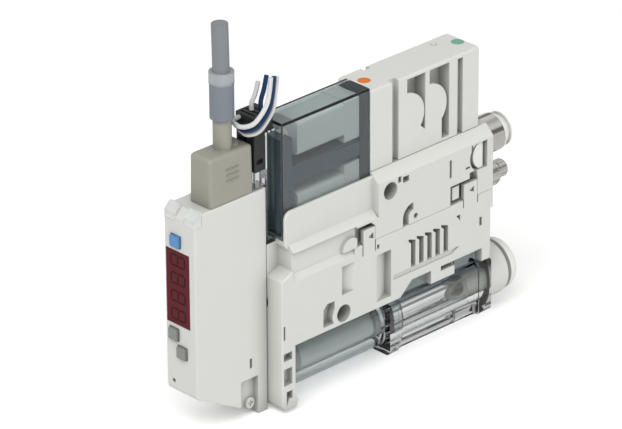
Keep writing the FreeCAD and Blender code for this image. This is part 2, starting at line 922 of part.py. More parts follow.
def housing_vents(body):
    """A row of hooked exhaust slots on each side, open to the silencer chamber."""
    vent = [
        ("vent_front - vent_width / 2", "vent_bottom"),
        ("vent_front + vent_width / 2", "vent_bottom"),
        ("vent_front + vent_width / 2", "vent_top"),
        ("vent_front - vent_width / 2 - vent_hook", "vent_top + vent_hook"),
        ("vent_front - vent_width / 2 - vent_hook", "vent_top + vent_hook / 4"),
        ("vent_front - vent_width / 2", "vent_top - vent_hook / 2"),
    ]
    cuts = [
        hollow(body, "XZ", "-body_half", "vent_depth - body_half", vent),
        hollow(body, "XZ", "body_half - vent_depth", "body_half", vent),
    ]
    document.recompute()
    row = body.newObject("PartDesign::LinearPattern", "VentRow")
    row.Originals = cuts
    row.Direction = (base_plane(body, "X_Axis"), [""])
    row.setExpression("Length", tied("vent_pitch * (vent_count - 1)"))
    row.setExpression("Occurrences", tied("vent_count"))
    body.Tip = row


def ejector_end_plug():
    """Plug that closes the front of the ejector bore."""
    body = new_part("ejector_end_plug", "body_front", "0", "bore_z")
    turned(body, "X", [
        ("0", "end_plug_socket"),
        ("0", "bore_radius - fit"),
        ("end_plug_length", "bore_radius - fit"),
        ("end_plug_length", "0"),
        ("end_plug_socket_depth", "0"),
        ("end_plug_socket_depth", "end_plug_socket"),
    ])


def nozzle():
    """Supply nozzle with a flange that seats in the bore."""
    body = new_part("nozzle", "nozzle_front", "0", "bore_z")
    turned(body, "X", [
        ("0", "nozzle_inlet"),
        ("0", "bore_radius - fit"),
        ("nozzle_flange", "bore_radius - fit"),
        ("nozzle_flange", "nozzle_inlet + nozzle_throat"),
        ("nozzle_tip_x - nozzle_front", "nozzle_tip_radius"),
        ("nozzle_tip_x - nozzle_front", "nozzle_throat"),
        ("nozzle_tip_x - nozzle_front - nozzle_flange", "nozzle_throat"),
    ])


def diffuser():
    """Diffuser with a bell mouth, a throat and a widening outlet."""
    body = new_part("diffuser", "diffuser_front", "0", "bore_z")
    turned(body, "X", [
        ("0", "diffuser_mouth"),
        ("0", "bore_radius - fit"),
        ("chamber_front - diffuser_front", "bore_radius - fit"),
        ("chamber_front - diffuser_front", "diffuser_outlet"),
        ("diffuser_throat_x - diffuser_front", "diffuser_throat"),
        ("diffuser_throat_x - diffuser_front - nozzle_flange", "diffuser_throat"),
    ])


def silencer():
    """Porous sleeve behind the vents."""
    body = new_part("silencer", "chamber_front", "0", "bore_z")
    turned(body, "X", [
        ("gap", "chamber_radius - gap - silencer_wall"),
        ("gap", "chamber_radius - gap"),
        ("silencer_length", "chamber_radius - gap"),
        ("silencer_length", "chamber_radius - gap - silencer_wall"),
    ])


def check_valve():
    """Mushroom valve that keeps the vacuum when the supply stops."""
    body = new_part("check_valve", "suction_x", "0", "housing_bottom")
    turned(body, "Z", [
        ("fit", "0"),
        ("fit", "check_disc_radius"),
        ("fit + check_disc_thickness", "check_disc_radius"),
        ("fit + check_disc_thickness", "check_stem_radius"),
        ("check_stem_top - housing_bottom", "check_stem_radius"),
        ("check_stem_top - housing_bottom", "0"),
    ])


def manifold_body():
    """Upper moulding: apron round the pilot cover, rear block with the ports."""
    body = new_part("manifold_body")
    solid(body, "XZ", "-apron_half", "apron_half", [
        ("apron_front", "apron_bottom + apron_bevel"),
        ("shoulder_x", "apron_bottom"),
        ("rear_block_front", "apron_bottom"),
        ("rear_block_front", "apron_top"),
        ("apron_front + apron_round", "apron_top", "apron_round", "left"),
        ("apron_front", "apron_top - apron_round"),
    ])
    soften(body, "manifold_round", lambda e, p: all(near(abs(q.y), value("apron_half")) for q in p)
           and min(q.x for q in p) < value("shoulder_x + apron_round")
           and max(q.z for q in p) > value("apron_top - apron_round") - 1)
    solid(body, "YZ", "shoulder_x", "rear_block_front", [
        ("-body_half", "seam_z"),
        ("body_half", "seam_z"),
        ("body_half", "apron_bottom"),
        ("apron_half", "apron_bottom + apron_bevel"),
        ("-apron_half", "apron_bottom + apron_bevel"),
        ("-body_half", "apron_bottom"),
    ])
    solid(body, "YZ", "rear_block_front", "body_back", [
        ("-body_half", "seam_z"),
        ("body_half", "seam_z"),
        ("body_half", "cheek_top"),
        ("valve_half", "deck_z"),
        ("-valve_half", "deck_z"),
        ("-body_half", "cheek_top"),
    ])
    solid(body, "XZ", "-nose_half", "nose_half", [
        ("body_front", "seam_z - slope_drop"),
        ("shoulder_x", "seam_z + slope_rise"),
        ("shoulder_x", "nose_top"),
        ("body_front", "nose_top"),
    ])
    solid(body, "XY", "needle_block_bottom", "seam_z",
          box("needle_block_front", "body_back", "-needle_block_half", "needle_block_half"))
    soften(body, "manifold_round", lambda e, p: all(near(q.x, value("body_back")) for q in p)
           or (straight_along(e, "x") and all(near(q.z, value("cheek_top")) for q in p)))
    manifold_seat(body)
    manifold_bores(body)
    manifold_sides(body)


def manifold_seat(body):
    """Room for the pilot cover and adapter, the gasket and the corner bevels."""
    hollow(body, "XZ", "-(cover_half + fit)", "cover_half + fit",
           box("apron_front", "rear_block_front", "cover_bottom", "deck_z"))
    for sign in ("-", ""):
        inner = f"{sign}apron_half"
        hollow(body, "XY", "apron_bottom", "deck_z",
               [("rear_block_front", f"{sign}body_half"),
                ("rear_block_front + rear_bevel", f"{sign}body_half"),
                ("rear_block_front", inner)])
    hollow(body, "XY", "deck_z - gasket_depth", "deck_z",
           box("gasket_front - fit", "gasket_back + fit", "-(gasket_half + fit)", "gasket_half + fit"))


def manifold_bores(body):
    """Fixing hole, port bores and the passages between ports, valve and ejector."""
    hollow(body, "XZ", "-body_half", "body_half",
           ("fixing_x + fixing_pitch_x", "fixing_z + fixing_pitch_z", "fixing_radius"))
    hollow(body, "YZ", "supply_seat_x", "body_back", ("0", "supply_port_z", "supply_bore"))
    hollow(body, "YZ", "supply_gallery_front", "supply_seat_x",
           ("0", "supply_port_z", "supply_gallery_radius"))
    hollow(body, "YZ", "needle_bush_front", "body_back",
           ("0", "needle_z", "needle_bush_radius + fit"))
    hollow(body, "YZ", "needle_tip_x - gap", "needle_bush_front",
           ("0", "needle_z", "needle_orifice + gap"))
    hollow(body, "XY", "seam_z", "gallery_z", ("supply_drop_x", "0", "drop_radius"))
    hollow(body, "YZ", "supply_drop_x", "riser_a_x", ("0", "gallery_z", "riser_radius"))
    hollow(body, "XY", "gallery_z", "deck_z", ("riser_a_x", "0", "riser_radius"))
    hollow(body, "XY", "supply_port_z", "deck_z", ("riser_b_x", "0", "riser_radius"))
    hollow(body, "XY", "needle_z", "deck_z", ("riser_c_x", "0", "riser_radius * 0.8"))


def manifold_sides(body):
    """Recessed field, hook recesses, clip windows and small grooves of the sides."""
    hollow_sides(body, "body_half", "field_depth",
                 box("shoulder_x", "field_back", "seam_z", "apron_bottom"))
    dome = [
        ("dome_x - dome_radius * 0.994", "seam_z", "dome_radius", "right"),
        ("dome_x", "dome_z + dome_radius", "dome_radius", "right"),
        ("dome_x + dome_radius * 0.994", "seam_z"),
    ]
    solid(body, "XZ", "-body_half", "field_depth - body_half", dome)
    solid(body, "XZ", "body_half - field_depth", "body_half", dome)
    moon = [
        ("moon_front", "moon_bottom"),
        ("moon_front + moon_width", "moon_bottom"),
        ("moon_front + moon_width", "moon_middle", "moon_radius - moon_width", "right"),
        ("moon_front + moon_radius", "moon_middle + moon_radius - moon_width"),
        ("moon_front + moon_radius", "moon_middle + moon_radius", "moon_radius", "left"),
        ("moon_front", "moon_middle"),
    ]
    hollow_sides(
        body, "body_half", "recess_depth",
        [("hook_recess_front", "seam_z"), ("hook_back + gap", "seam_z"),
         ("hook_back + gap", "hook_recess_top - corner_cut"),
         ("hook_back - corner_cut", "hook_recess_top"), ("hook_recess_front", "hook_recess_top")],
        [("rear_hook_recess_front", "seam_z"), ("rear_hook_back + gap", "seam_z"),
         ("rear_hook_back + gap", "rear_hook_recess_top"),
         ("lug_recess_back", "rear_hook_recess_top"), ("lug_recess_back", "lug_recess_top"),
         ("lug_recess_front", "lug_recess_top"), ("lug_recess_front", "rear_hook_recess_top"),
         ("rear_hook_recess_front", "rear_hook_recess_top")],
        moon,
        ("pin_mark_x", "pin_mark_z", "pin_mark_radius"),
        box("nick_front", "nick_front + nick_rib * 2", "nick_bottom + nick_rib", "nick_top"),
        box("nick_front + nick_rib * 3", "nick_back", "nick_bottom", "nick_top - nick_rib"))
    hollow_sides(
        body, "body_half", "slit_depth",
        box("slit_x", "slit_x + slit_width", "slit_bottom", "slit_top"),
        [("j_back - j_width", "j_bottom + j_width * 2"), ("j_back", "j_bottom + j_width * 2"),
         ("j_back", "j_top"), ("j_back - j_width", "j_top")],
        [("j_front", "j_bottom"), ("j_back - j_width * 2", "j_bottom"),
         ("j_back - j_width * 2", "j_bottom + j_width"), ("j_front", "j_bottom + j_width")])
    lugs = []
    for front, back, bottom, top in (
            ("hook_window_front", "hook_window_back", "hook_window_bottom", "hook_window_top"),
            ("rear_hook_window_front", "rear_hook_window_back", "rear_hook_window_bottom",
             "rear_hook_window_top")):
        lugs.append([(f"{back} - gap * 2", f"{bottom} + gap * 2"),
                     (f"{back} - gap * 2", f"{top} - gap * 2"),
                     (f"{front} + gap * 4", f"({bottom} + {top}) / 2")])
    solid(body, "XZ", "hook_thickness * 0.5 - body_half", "recess_depth - body_half", *lugs)
    peg = box("peg_front", "peg_back", "peg_bottom", "peg_top")
    solid(body, "XZ", "peg_sink - body_half", "recess_depth - body_half", peg)
    solid(body, "XZ", "body_half - recess_depth", "body_half - peg_sink", peg)
    solid(body, "XZ", "body_half - recess_depth", "body_half - hook_thickness * 0.5", *lugs)
    window = [
        ("clip_front", "clip_bottom"),
        ("clip_back", "clip_bottom"),
        ("clip_back", "clip_top"),
        ("clip_front", "clip_top", "clip_bulge", "left"),
    ]
    hollow(body, "XZ", "-body_half", "-clip_back_face", window)
    hollow(body, "XZ", "-(clip_back_face + clip_bar + fit)", "clip_leg_end + gap",
           box("clip_leg_front - gap", "clip_leg_back + gap",
               "supply_port_z - supply_groove_radius - clip_leg_thickness - gap",
               "supply_port_z + supply_groove_radius + clip_leg_thickness + gap"))


def fitting_clip():
    """Fork that slides in from the near side and holds the supply fitting."""
    body = new_part("fitting_clip")
    solid(body, "XZ", "-clip_face", "-(clip_back_face + fit)",
          [("clip_face_front", "clip_bottom + gap"), ("clip_face_back", "clip_bottom + gap"),
           ("clip_face_back", "clip_top - gap"),
           ("clip_face_front", "clip_top - gap", "clip_bulge", "left")])
    low = "supply_port_z - supply_groove_radius"
    high = "supply_port_z + supply_groove_radius"
    solid(body, "XZ", "-(clip_back_face + clip_bar)", "-(supply_body_radius + fit)",
          box("clip_leg_front", "clip_leg_back", f"{low} - clip_leg_thickness",
              f"{high} + clip_leg_thickness"))
    solid(body, "XZ", "-(clip_back_face + clip_bar)", "clip_leg_end",
          box("clip_leg_front", "clip_leg_back", f"{low} - clip_leg_thickness", f"{low} - fit"),
          box("clip_leg_front", "clip_leg_back", f"{high} + fit", f"{high} + clip_leg_thickness"))


# ---------------------------------------------------------------- main valve

def valve_body():
    """Spool valve block with two side pockets, grooves and override bores."""
    body = new_part("valve_body")
    solid(body, "XZ", "-valve_half", "valve_half",
          box("rear_block_front", "valve_back", "valve_bottom", "valve_top"))
    soften(body, "valve_round", lambda e, p: straight_along(e, "z")
           or all(near(q.z, value("valve_top")) for q in p))
    groove = box("valve_groove_front", "valve_groove_front + valve_groove_width",
                 "valve_bottom", "valve_top")
    rear_groove = box("valve_rear_groove_front",
                      "valve_rear_groove_front + valve_rear_groove_width",
                      "valve_bottom", "valve_top - valve_round * 2")
    hollow_sides(body, "valve_half", "valve_groove_depth", groove, rear_groove)
    pocket_a = [
        ("pocket_a_front", "pocket_top"),
        ("pocket_a_front", "pocket_boss_z + pocket_boss_radius * 0.998", "pocket_boss_radius",
         "right"),
        ("pocket_a_front - pocket_boss_lead + pocket_boss_radius * 0.8",
         "pocket_boss_z - pocket_boss_radius * 0.6"),
        ("pocket_a_back", "pocket_a_bottom"),
        ("pocket_a_back", "pocket_top"),
    ]
    pocket_b = [
        ("pocket_b_front", "pocket_top"),
        ("pocket_b_front", "pocket_boss_z + pocket_boss_radius * 0.998", "pocket_boss_radius",
         "right"),
        ("pocket_b_foot", "pocket_boss_z - pocket_boss_radius * 0.681"),
        ("pocket_b_foot", "pocket_b_bottom"),
        ("pocket_b_back", "pocket_b_bottom"),
        ("pocket_b_back", "pocket_top"),
    ]
    hollow(body, "XZ", "-valve_half", "pocket_depth - valve_half", pocket_a, pocket_b)
    hollow(body, "YZ", "rear_block_front", "spool_bore_back",
           ("spool_y", "supply_spool_z", "spool_bore"), ("spool_y", "release_spool_z", "spool_bore"))
    hollow(body, "XY", "valve_top - override_length - override_travel - gap", "valve_top",
           ("supply_override_x", "0", "override_radius + slide / 2"),
           ("release_override_x", "0", "override_radius + slide / 2"))
    hollow(body, "XY", "valve_bottom", "release_spool_z",
           ("riser_a_x", "0", "riser_radius"), ("riser_b_x", "0", "riser_radius"),
           ("riser_c_x - riser_radius * 4", "spool_y", "riser_radius"))
    solid(body, "XY", "valve_top", "valve_top + bump_height", ("bump_x", "bump_y", "bump_radius"))


def valve_gasket():
    """Sheet gasket under the valve with the three passages punched in it."""
    body = new_part("valve_gasket")
    solid(body, "XY", "deck_z - gasket_depth", "valve_bottom",
          box("gasket_front", "gasket_back", "-gasket_half", "gasket_half"))
    hollow(body, "XY", "deck_z - gasket_depth", "valve_bottom",
           ("riser_a_x", "0", "riser_radius"), ("riser_b_x", "0", "riser_radius"),
           ("riser_c_x", "0", "riser_radius"))


def spool(name, height):
    """Valve spool with four lands."""
    body = new_part(name, "spool_front", "spool_y", height)
    land = "spool_bore - spool_running"
    step = "(spool_length - spool_land) / 3"
    outline = [("0", "0")]
    for i in range(4):
        front = f"{step} * {i}"
        outline.append((front, "spool_waist" if i else land))
        if i:
            outline.append((front, land))
        outline.append((f"{front} + spool_land", land))
        if i < 3:
            outline.append((f"{front} + spool_land", "spool_waist"))
    outline.append(("spool_length", "0"))
    turned(body, "X", outline)


def override(name, place):
    """Round manual override button flush with the top of the valve."""
    body = new_part(name, place, "0", "valve_top")
    turned(body, "Z", [
        ("-override_length", "0"),
        ("-override_length", "override_radius"),
        ("0", "override_radius"),
        ("0", "0"),
    ])


# ---------------------------------------------------------------- pilot valves

def cover_section(inset):
    """Cross-section of the cover's main part, drawn inwards by an inset."""
    return [
        (f"{inset} - cover_half", "cover_bottom"),
        (f"cover_half - {inset}", "cover_bottom"),
        (f"cover_half - {inset}", "cover_top - cover_half + cover_bevel_y"),
        (f"cover_bevel_y - {inset} / 2", f"cover_top - {inset}"),
        (f"{inset} - cover_half", f"cover_top - {inset}"),
    ]


def pilot_cover():
    """Smoked cover, narrower at the front, open below and at the rear."""
    body = new_part("pilot_cover")
    solid(body, "YZ", "cover_step_x", "cover_back", cover_section("0"))
    soften(body, "cover_round", lambda e, p: (straight_along(e, "x")
                                              and min(q.z for q in p) > value("cover_bottom") + 1)
           or (all(near(q.x, value("cover_step_x")) for q in p)
               and max(q.z for q in p) > value("cover_bottom") + 1))
    solid(body, "XZ", "-cover_nose_half", "cover_nose_half",
          box("cover_front", "cover_step_x", "cover_nose_bottom", "cover_nose_top"),
          box("cover_lip_front", "cover_front", "cover_lip_bottom", "cover_lip_top"))
    hollow(body, "YZ", "cover_step_x + cover_wall", "cover_back", cover_section("cover_wall"))
    hollow(body, "XZ", "cover_wall - cover_nose_half", "cover_nose_half - cover_wall",
           box("cover_front + cover_wall", "cover_step_x + cover_wall",
               "cover_nose_bottom + cover_wall", "cover_nose_top - cover_wall"))


def pilot_adapter():
    """Dark plate between the pilot valves and the main valve."""
    body = new_part("pilot_adapter")
    solid(body, "YZ", "adapter_front", "rear_block_front",
          bevelled_section("adapter_half", "adapter_bottom", "cover_top - cover_wall - gap",
                           "coil_bevel + cover_wall"))
    hollow(body, "YZ", "adapter_front", "rear_block_front",
           ("spool_y", "supply_spool_z", "adapter_window_half"),
           ("spool_y", "release_spool_z", "adapter_window_half"))


def pilot_frame():
    """Dark carrier between the two pilot valves, slotted at its upper and lower edge."""
    body = new_part("pilot_frame")
    solid(body, "XZ", "-frame_half", "frame_half",
          box("frame_front", "adapter_front", "frame_bottom", "frame_top"),
          [("frame_front", "frame_block_bottom"), ("frame_block_back", "frame_block_bottom"),
           ("frame_block_back", "frame_bottom"), ("frame_front", "frame_bottom")],
          [("frame_front", "frame_top"), ("frame_block_back", "frame_top"),
           ("frame_block_back", "frame_block_top"), ("frame_front", "frame_block_top")])
    hollow_sides(body, "frame_half", "frame_slot_depth",
                 box("frame_slot_front", "adapter_front", "frame_bottom",
                     "frame_bottom + frame_slot_depth"),
                 box("frame_slot_front", "adapter_front", "frame_top - frame_slot_depth",
                     "frame_top"))


def bevelled_section(half, bottom, top, bevel):
    """Rectangle across the body with its upper far corner cut off, as the cover's is."""
    return [
        (f"-{half}", bottom),
        (half, bottom),
        (half, f"{top} - ({bevel})"),
        (f"{half} - ({bevel})", top),
        (f"-{half}", top),
    ]


def coil(name, bottom, top):
    """Moulded pilot coil with its core showing at the front."""
    body = new_part(name)
    solid(body, "YZ", "coil_front", "coil_back",
          bevelled_section("coil_half", bottom, top, "coil_bevel"))
    soften(body, "coil_round", lambda e, p: straight_along(e, "x"))
    solid(body, "YZ", "coil_front - core_lead", "coil_front",
          ("0", f"({bottom} + {top}) / 2", "core_radius"))


def pilot_body(name, bottom, top):
    """Valve end of a pilot valve, seated on the adapter."""
    body = new_part(name)
    solid(body, "YZ", "coil_back", "adapter_front",
          bevelled_section("coil_half", bottom, top, "coil_bevel"))


def supply_plug():
    """Black plug connector in front of the cover."""
    body = new_part("supply_plug")
    solid(body, "XZ", "-plug_half", "plug_half",
          box("plug_front", "plug_back", "plug_bottom", "plug_top"))
    hollow(body, "XZ", "-plug_slot", "plug_slot",
           box("plug_front", "plug_front + plug_slot_depth", "plug_bottom + plug_slot * 2",
               "plug_top - plug_slot * 2"))
    hollow_sides(body, "plug_half", "plug_slot_depth",
                 box("plug_front + plug_slot_depth", "plug_back - plug_slot_depth",
                     "plug_bottom + plug_slot * 3", "plug_bottom + plug_slot * 5"))


def release_plug():
    """Black plug connector that lies over the front of the cover."""
    body = new_part("release_plug")
    solid(body, "XZ", "-plug_half", "plug_half",
          box("top_plug_front", "top_plug_back", "plug_top + fit", "top_plug_top"))
    slots = []
    for i in range(3):
        start = f"plug_slot_first + plug_slot_pitch * {i}"
        slots.append(box(start, f"{start} + plug_slot", "-(plug_half - plug_slot)",
                         "plug_half - plug_slot"))
    hollow(body, "XY", "top_plug_top - plug_slot_depth", "top_plug_top", *slots)


def swept_tube(name, points, radius):
    """Tube along straight runs joined by tangent arcs, from hand-placed points."""
    runs = [points[i + 1] - points[i] for i in range(len(points) - 1)]
    edges = []
    start = points[0]
    for i in range(1, len(points) - 1):
        before = runs[i - 1]
        after = runs[i]
        half_turn = before.getAngle(after) / 2
        back = 0.45 * min(before.Length, after.Length)
        bend = back / math.tan(half_turn)
        enter = points[i] - before.normalize() * back
        leave = points[i] + after.normalize() * back
        runs[i - 1] = points[i] - points[i - 1]
        runs[i] = points[i + 1] - points[i]
        inward = (enter + leave) * 0.5 - points[i]
        reach = math.sqrt(bend * bend + back * back)
        middle = points[i] + inward.normalize() * (reach - bend)
        edges.append(Part.makeLine(start, enter))
        edges.append(Part.Arc(enter, middle, leave).toShape())
        print(name, "bend radius", round(bend, 2))
        start = leave
    edges.append(Part.makeLine(start, points[-1]))
    path = Part.Wire(edges)
    first = points[1] - points[0]
    ring = Part.Wire(Part.makeCircle(radius, points[0], first))
    tube = path.makePipeShell([ring], True, True)
    feature = document.addObject("Part::Feature", "Tube_" + name)
    feature.Label = name
    feature.Shape = tube
    feature.Placement.Base = VECTOR(-value("fixing_x"), 0, -value("fixing_z"))
    PARTS[name] = feature


LEADS = {
    "supply_lead_white": [(18.4, 1.7, 63.9), (15.6, 1.7, 63.9), (15.0, -2.4, 63.6),
                          (16.4, -5.0, 64.7), (18.1, -5.8, 66.8), (19.8, -6.0, 69.1),
                          (20.5, -6.0, 72.2), (20.9, -6.0, 75.2)],
    "supply_lead_navy": [(18.4, 1.7, 62.6), (16.8, 1.7, 62.6), (16.2, -2.2, 62.3),
                         (17.3, -4.9, 63.4), (19.1, -5.7, 65.6), (20.9, -5.8, 68.0),
                         (21.7, -5.8, 71.6), (22.1, -5.8, 75.0)],
    "release_lead_white": [(18.4, 0.4, 61.4), (17.4, 0.4, 61.4), (16.8, -2.2, 61.1),
                           (18.3, -4.7, 62.1), (20.2, -5.3, 64.4), (22.0, -5.5, 66.8),
                           (22.8, -5.5, 71.0), (23.2, -5.5, 74.6)],
    "upper_lead_white": [(21.3, 0.8, 65.0), (21.3, 0.8, 66.8), (22.5, 0.8, 68.4),
                         (23.5, 0.9, 71.2)],
    "upper_lead_navy": [(22.6, -0.8, 65.0), (22.6, -0.8, 67.4), (23.7, -0.7, 69.4),
                        (24.7, -0.6, 72.8)],
}


def lead_wires():
    """Short cut ends of the lead wires."""
    for name, points in LEADS.items():
        swept_tube(name, [VECTOR(*point) for point in points], value("lead_radius"))


# ---------------------------------------------------------------- pressure switch

def switch_section():
    """Side outline of the switch housing's outer wall."""
    return [
        ("0", "switch_chin", "switch_chin", "left"),
        ("switch_chin", "0"),
        ("switch_heel_x", "switch_heel_z"),
        ("switch_end", "switch_heel_z"),
        ("switch_end", "switch_top"),
        ("switch_brow_x", "switch_top"),
        ("0", "switch_brow_z"),
    ]


def key_box(y, z, width, height, grow):
    """Corners of a square key or of the opening round it."""
    return box(f"{y} - {width} / 2 - {grow}", f"{y} + {width} / 2 + {grow}",
               f"{z} - {height} / 2 - {grow}", f"{z} + {height} / 2 + {grow}")


def switch_housing():
    """White switch case: face with window and keys, sloping chin, socket on top."""
    body = new_part("switch_housing")
    solid(body, "XZ", "switch_near", "switch_far", switch_section())
    soften(body, "switch_round", lambda e, p: all(near(q.y, value("switch_near")) for q in p)
           or all(near(q.y, value("switch_far")) for q in p))
    hollow(body, "XZ", "switch_near + switch_wall", "switch_far - switch_wall",
           box("switch_face_wall", "switch_end", "switch_floor", "switch_ceiling"))
    hollow(body, "YZ", "0", "display_depth",
           box("display_near", "display_far", "display_bottom", "display_top"))
    hollow(body, "YZ", "display_depth", "switch_face_wall",
           box("display_near + display_frame", "display_far - display_frame * 2",
               "display_bottom + display_frame", "display_top - display_frame"))
    hollow(body, "YZ", "0", "switch_face_wall",
           key_box("set_y", "set_z", "set_width", "set_height", "slide"),
           key_box("up_y", "up_z", "arrow_size", "arrow_size", "slide"),
           key_box("down_y", "down_z", "arrow_size", "arrow_size", "slide"),
           ("vent_dot_y", "vent_dot_z", "vent_dot_radius"))
    hollow(body, "XZ", "switch_near", "switch_near + lens_width",
           box("0", "lens_depth", "lens_bottom", "switch_top"))
    hollow(body, "XZ", "switch_far - lens_width", "switch_far",
           box("0", "lens_depth", "lens_bottom", "switch_top"))
    socket_inner = box("socket_front", "socket_back", "socket_near", "socket_far")
    hollow(body, "XY", "socket_bottom", "switch_top", socket_inner)
    hollow(body, "XZ", "switch_near", "switch_near + switch_wall",
           box("side_slot_x", "side_slot_x + side_slot_width", "side_slot_z",
               "side_slot_z + side_slot_height"))
    hollow(body, "XZ", "switch_near", "switch_near + screw_bay_depth",
           box("screw_bay_front", "screw_bay_back", "switch_heel_z", "screw_bay_top"))
    hollow(body, "XZ", "switch_near + screw_bay_depth",
           "switch_near + screw_bay_depth + screw_length + gap",
           ("screw_x", "screw_z", "screw_radius + fit"))


def switch_back_plate():
    """Plate that closes the rear of the switch and carries its suction port."""
    body = new_part("switch_back_plate")
    solid(body, "YZ", "switch_back", "switch_end",
          box("switch_near + switch_wall + fit", "switch_far - switch_wall - fit",
              "switch_floor + fit", "switch_ceiling - fit"))
    hollow(body, "YZ", "switch_back", "switch_end", ("sense_y", "sense_z", "sensor_pipe_radius + fit"))
    hollow(body, "YZ", "body_front - seal_depth", "body_front",
           ("sense_y", "sense_z", "seal_radius + fit"))


def switch_port_seal():
    """Face seal between switch and ejector housing."""
    body = new_part("switch_port_seal", "body_front - seal_depth", "sense_y", "sense_z")
    turned(body, "X", [
        ("0", "seal_bore"),
        ("0", "seal_radius"),
        ("seal_depth", "seal_radius"),
        ("seal_depth", "seal_bore"),
    ])


def switch_display():
    """Dark red window over the display."""
    body = new_part("switch_display")
    solid(body, "YZ", "fit", "display_depth",
          box("display_near + fit", "display_far - fit", "display_bottom + fit",
              "display_top - fit"))
    soften(body, "fit * 3", lambda e, p: all(near(q.x, value("fit")) for q in p),
           "Chamfer", "Size")


def key(name, y, z, width, height, far_flange):
    """Push key: face proud of the wall, flange behind it, stem towards the board."""
    body = new_part(name)
    face = key_box(y, z, width, height, "0")
    flange = box(f"{y} - {width} / 2 - button_flange", f"{y} + {width} / 2 + {far_flange}",
                 f"{z} - {height} / 2 - button_flange", f"{z} + {height} / 2 + button_flange")
    solid(body, "YZ", "-button_lift", "switch_face_wall + button_rest", face)
    document.recompute()
    soften(body, "key_round", lambda e, p: straight_along(e, "x"))
    soften(body, "key_round / 2", lambda e, p: all(near(q.x, -value("button_lift")) for q in p))
    back = "switch_face_wall + button_rest + button_flange_depth"
    solid(body, "YZ", "switch_face_wall + button_rest", back, flange)
    solid(body, "YZ", back, f"{back} + button_stem_length",
          box(f"{y} - button_stem / 2", f"{y} + button_stem / 2",
              f"{z} - button_stem / 2", f"{z} + button_stem / 2"))


def indicator_lens(name, low, high):
    """Clear light guide that forms an upper front corner of the switch."""
    body = new_part(name)
    solid(body, "XZ", low, high, [
        ("0", "lens_bottom + fit"),
        ("lens_depth - fit", "lens_bottom + fit"),
        ("lens_depth - fit", "lens_top"),
        ("lens_brow", "lens_top"),
        ("0", "lens_top - lens_brow"),
    ])


def switch_circuit_board():
    """Board behind the face with a push contact behind every key."""
    body = new_part("switch_circuit_board")
    low = "switch_near + switch_wall + board_margin"
    high = "switch_far - switch_wall - board_margin"
    solid(body, "YZ", "board_front + board_thickness", "board_front + board_thickness * 2",
          box(low, high, "board_bottom", "board_top"))
    contacts = []
    for y, z in (("set_y", "set_z - fit * 6"), ("up_y - fit * 4", "up_z"), ("down_y", "down_z")):
        contacts.append(box(f"{y} - tact_size / 2", f"{y} + tact_size / 2",
                            f"{z} - tact_size / 2", f"{z} + tact_size / 2"))
    solid(body, "YZ", "board_front", "board_front + board_thickness", *contacts)


def pressure_sensor():
    """Sensor block on the rear of the board with a pipe to the suction port."""
    body = new_part("pressure_sensor")
    front = "board_front + board_thickness * 2"
    solid(body, "YZ", front, "sensor_back",
          box("sense_y - sensor_half", "sense_y + sensor_half", "sense_z - sensor_height / 2",
              "sense_z + sensor_height / 2"))
    solid(body, "YZ", "sensor_back", "body_front - seal_depth",
          ("sense_y", "sense_z", "sensor_pipe_radius"))
    hollow(body, "YZ", "sensor_back - board_thickness", "body_front - seal_depth",
           ("sense_y", "sense_z", "sensor_pipe_bore"))


def switch_screw():
    """Cross-head screw in the bay under the switch."""
    body = new_part("switch_screw")
    seat = "switch_near + screw_bay_depth"
    solid(body, "XZ", f"{seat} - screw_head_height", seat, ("screw_x", "screw_z", "screw_head_radius"))
    solid(body, "XZ", seat, f"{seat} + screw_length", ("screw_x", "screw_z", "screw_radius"))
    arm = "screw_head_radius * 0.62"
    half = "screw_cross / 2"
    cross = [
        (f"screw_x - {half}", f"screw_z - {arm}"), (f"screw_x + {half}", f"screw_z - {arm}"),
        (f"screw_x + {half}", f"screw_z - {half}"), (f"screw_x + {arm}", f"screw_z - {half}"),
        (f"screw_x + {arm}", f"screw_z + {half}"), (f"screw_x + {half}", f"screw_z + {half}"),
        (f"screw_x + {half}", f"screw_z + {arm}"), (f"screw_x - {half}", f"screw_z + {arm}"),
        (f"screw_x - {half}", f"screw_z + {half}"), (f"screw_x - {arm}", f"screw_z + {half}"),
        (f"screw_x - {arm}", f"screw_z - {half}"), (f"screw_x - {half}", f"screw_z - {half}"),
    ]
    hollow(body, "XZ", f"{seat} - screw_head_height",
           f"{seat} - screw_head_height + screw_cross_depth", cross)


def connector_boot():
    """Moulded cable plug: tapered block, ribs, neck with a blind cable hole."""
    body = new_part("connector_boot")
    block = solid(body, "XY", "switch_top + fit * 2", "boot_top",
                  box("boot_front", "boot_back", "boot_near", "boot_far"))
    block.setExpression("TaperAngle", tied("-boot_taper"))
    soften(body, "boot_round", lambda e, p: abs(p[0].z - p[1].z) > value("boot_round") * 4)
    soften(body, "boot_round", lambda e, p: all(near(q.z, value("boot_top")) for q in p))
    solid(body, "XY", "socket_bottom + gap", "switch_top + fit * 2",
          box("socket_front + gap", "socket_back - gap", "socket_near + gap", "socket_far - gap"))
    solid(body, "XY", "boot_top - fit", "neck_top", ("neck_x", "neck_y", "neck_radius"))
    solid(body, "XY", "boot_top - fit", "boot_top + lump_height", ("lump_x", "neck_y", "lump_radius"))
    hollow(body, "XY", "neck_floor", "neck_top", ("neck_x", "neck_y", "cable_radius + fit"))


def sleeve(name, bottom, top, radius, play):
    """Sleeve slipped over the cable."""
    body = new_part(name, "neck_x", "neck_y", bottom)
    turned(body, "Z", [
        ("0", f"cable_radius + {play}"),
        ("0", radius),
        (f"{top} - ({bottom})", radius),
        (f"{top} - ({bottom})", f"cable_radius + {play}"),
    ])


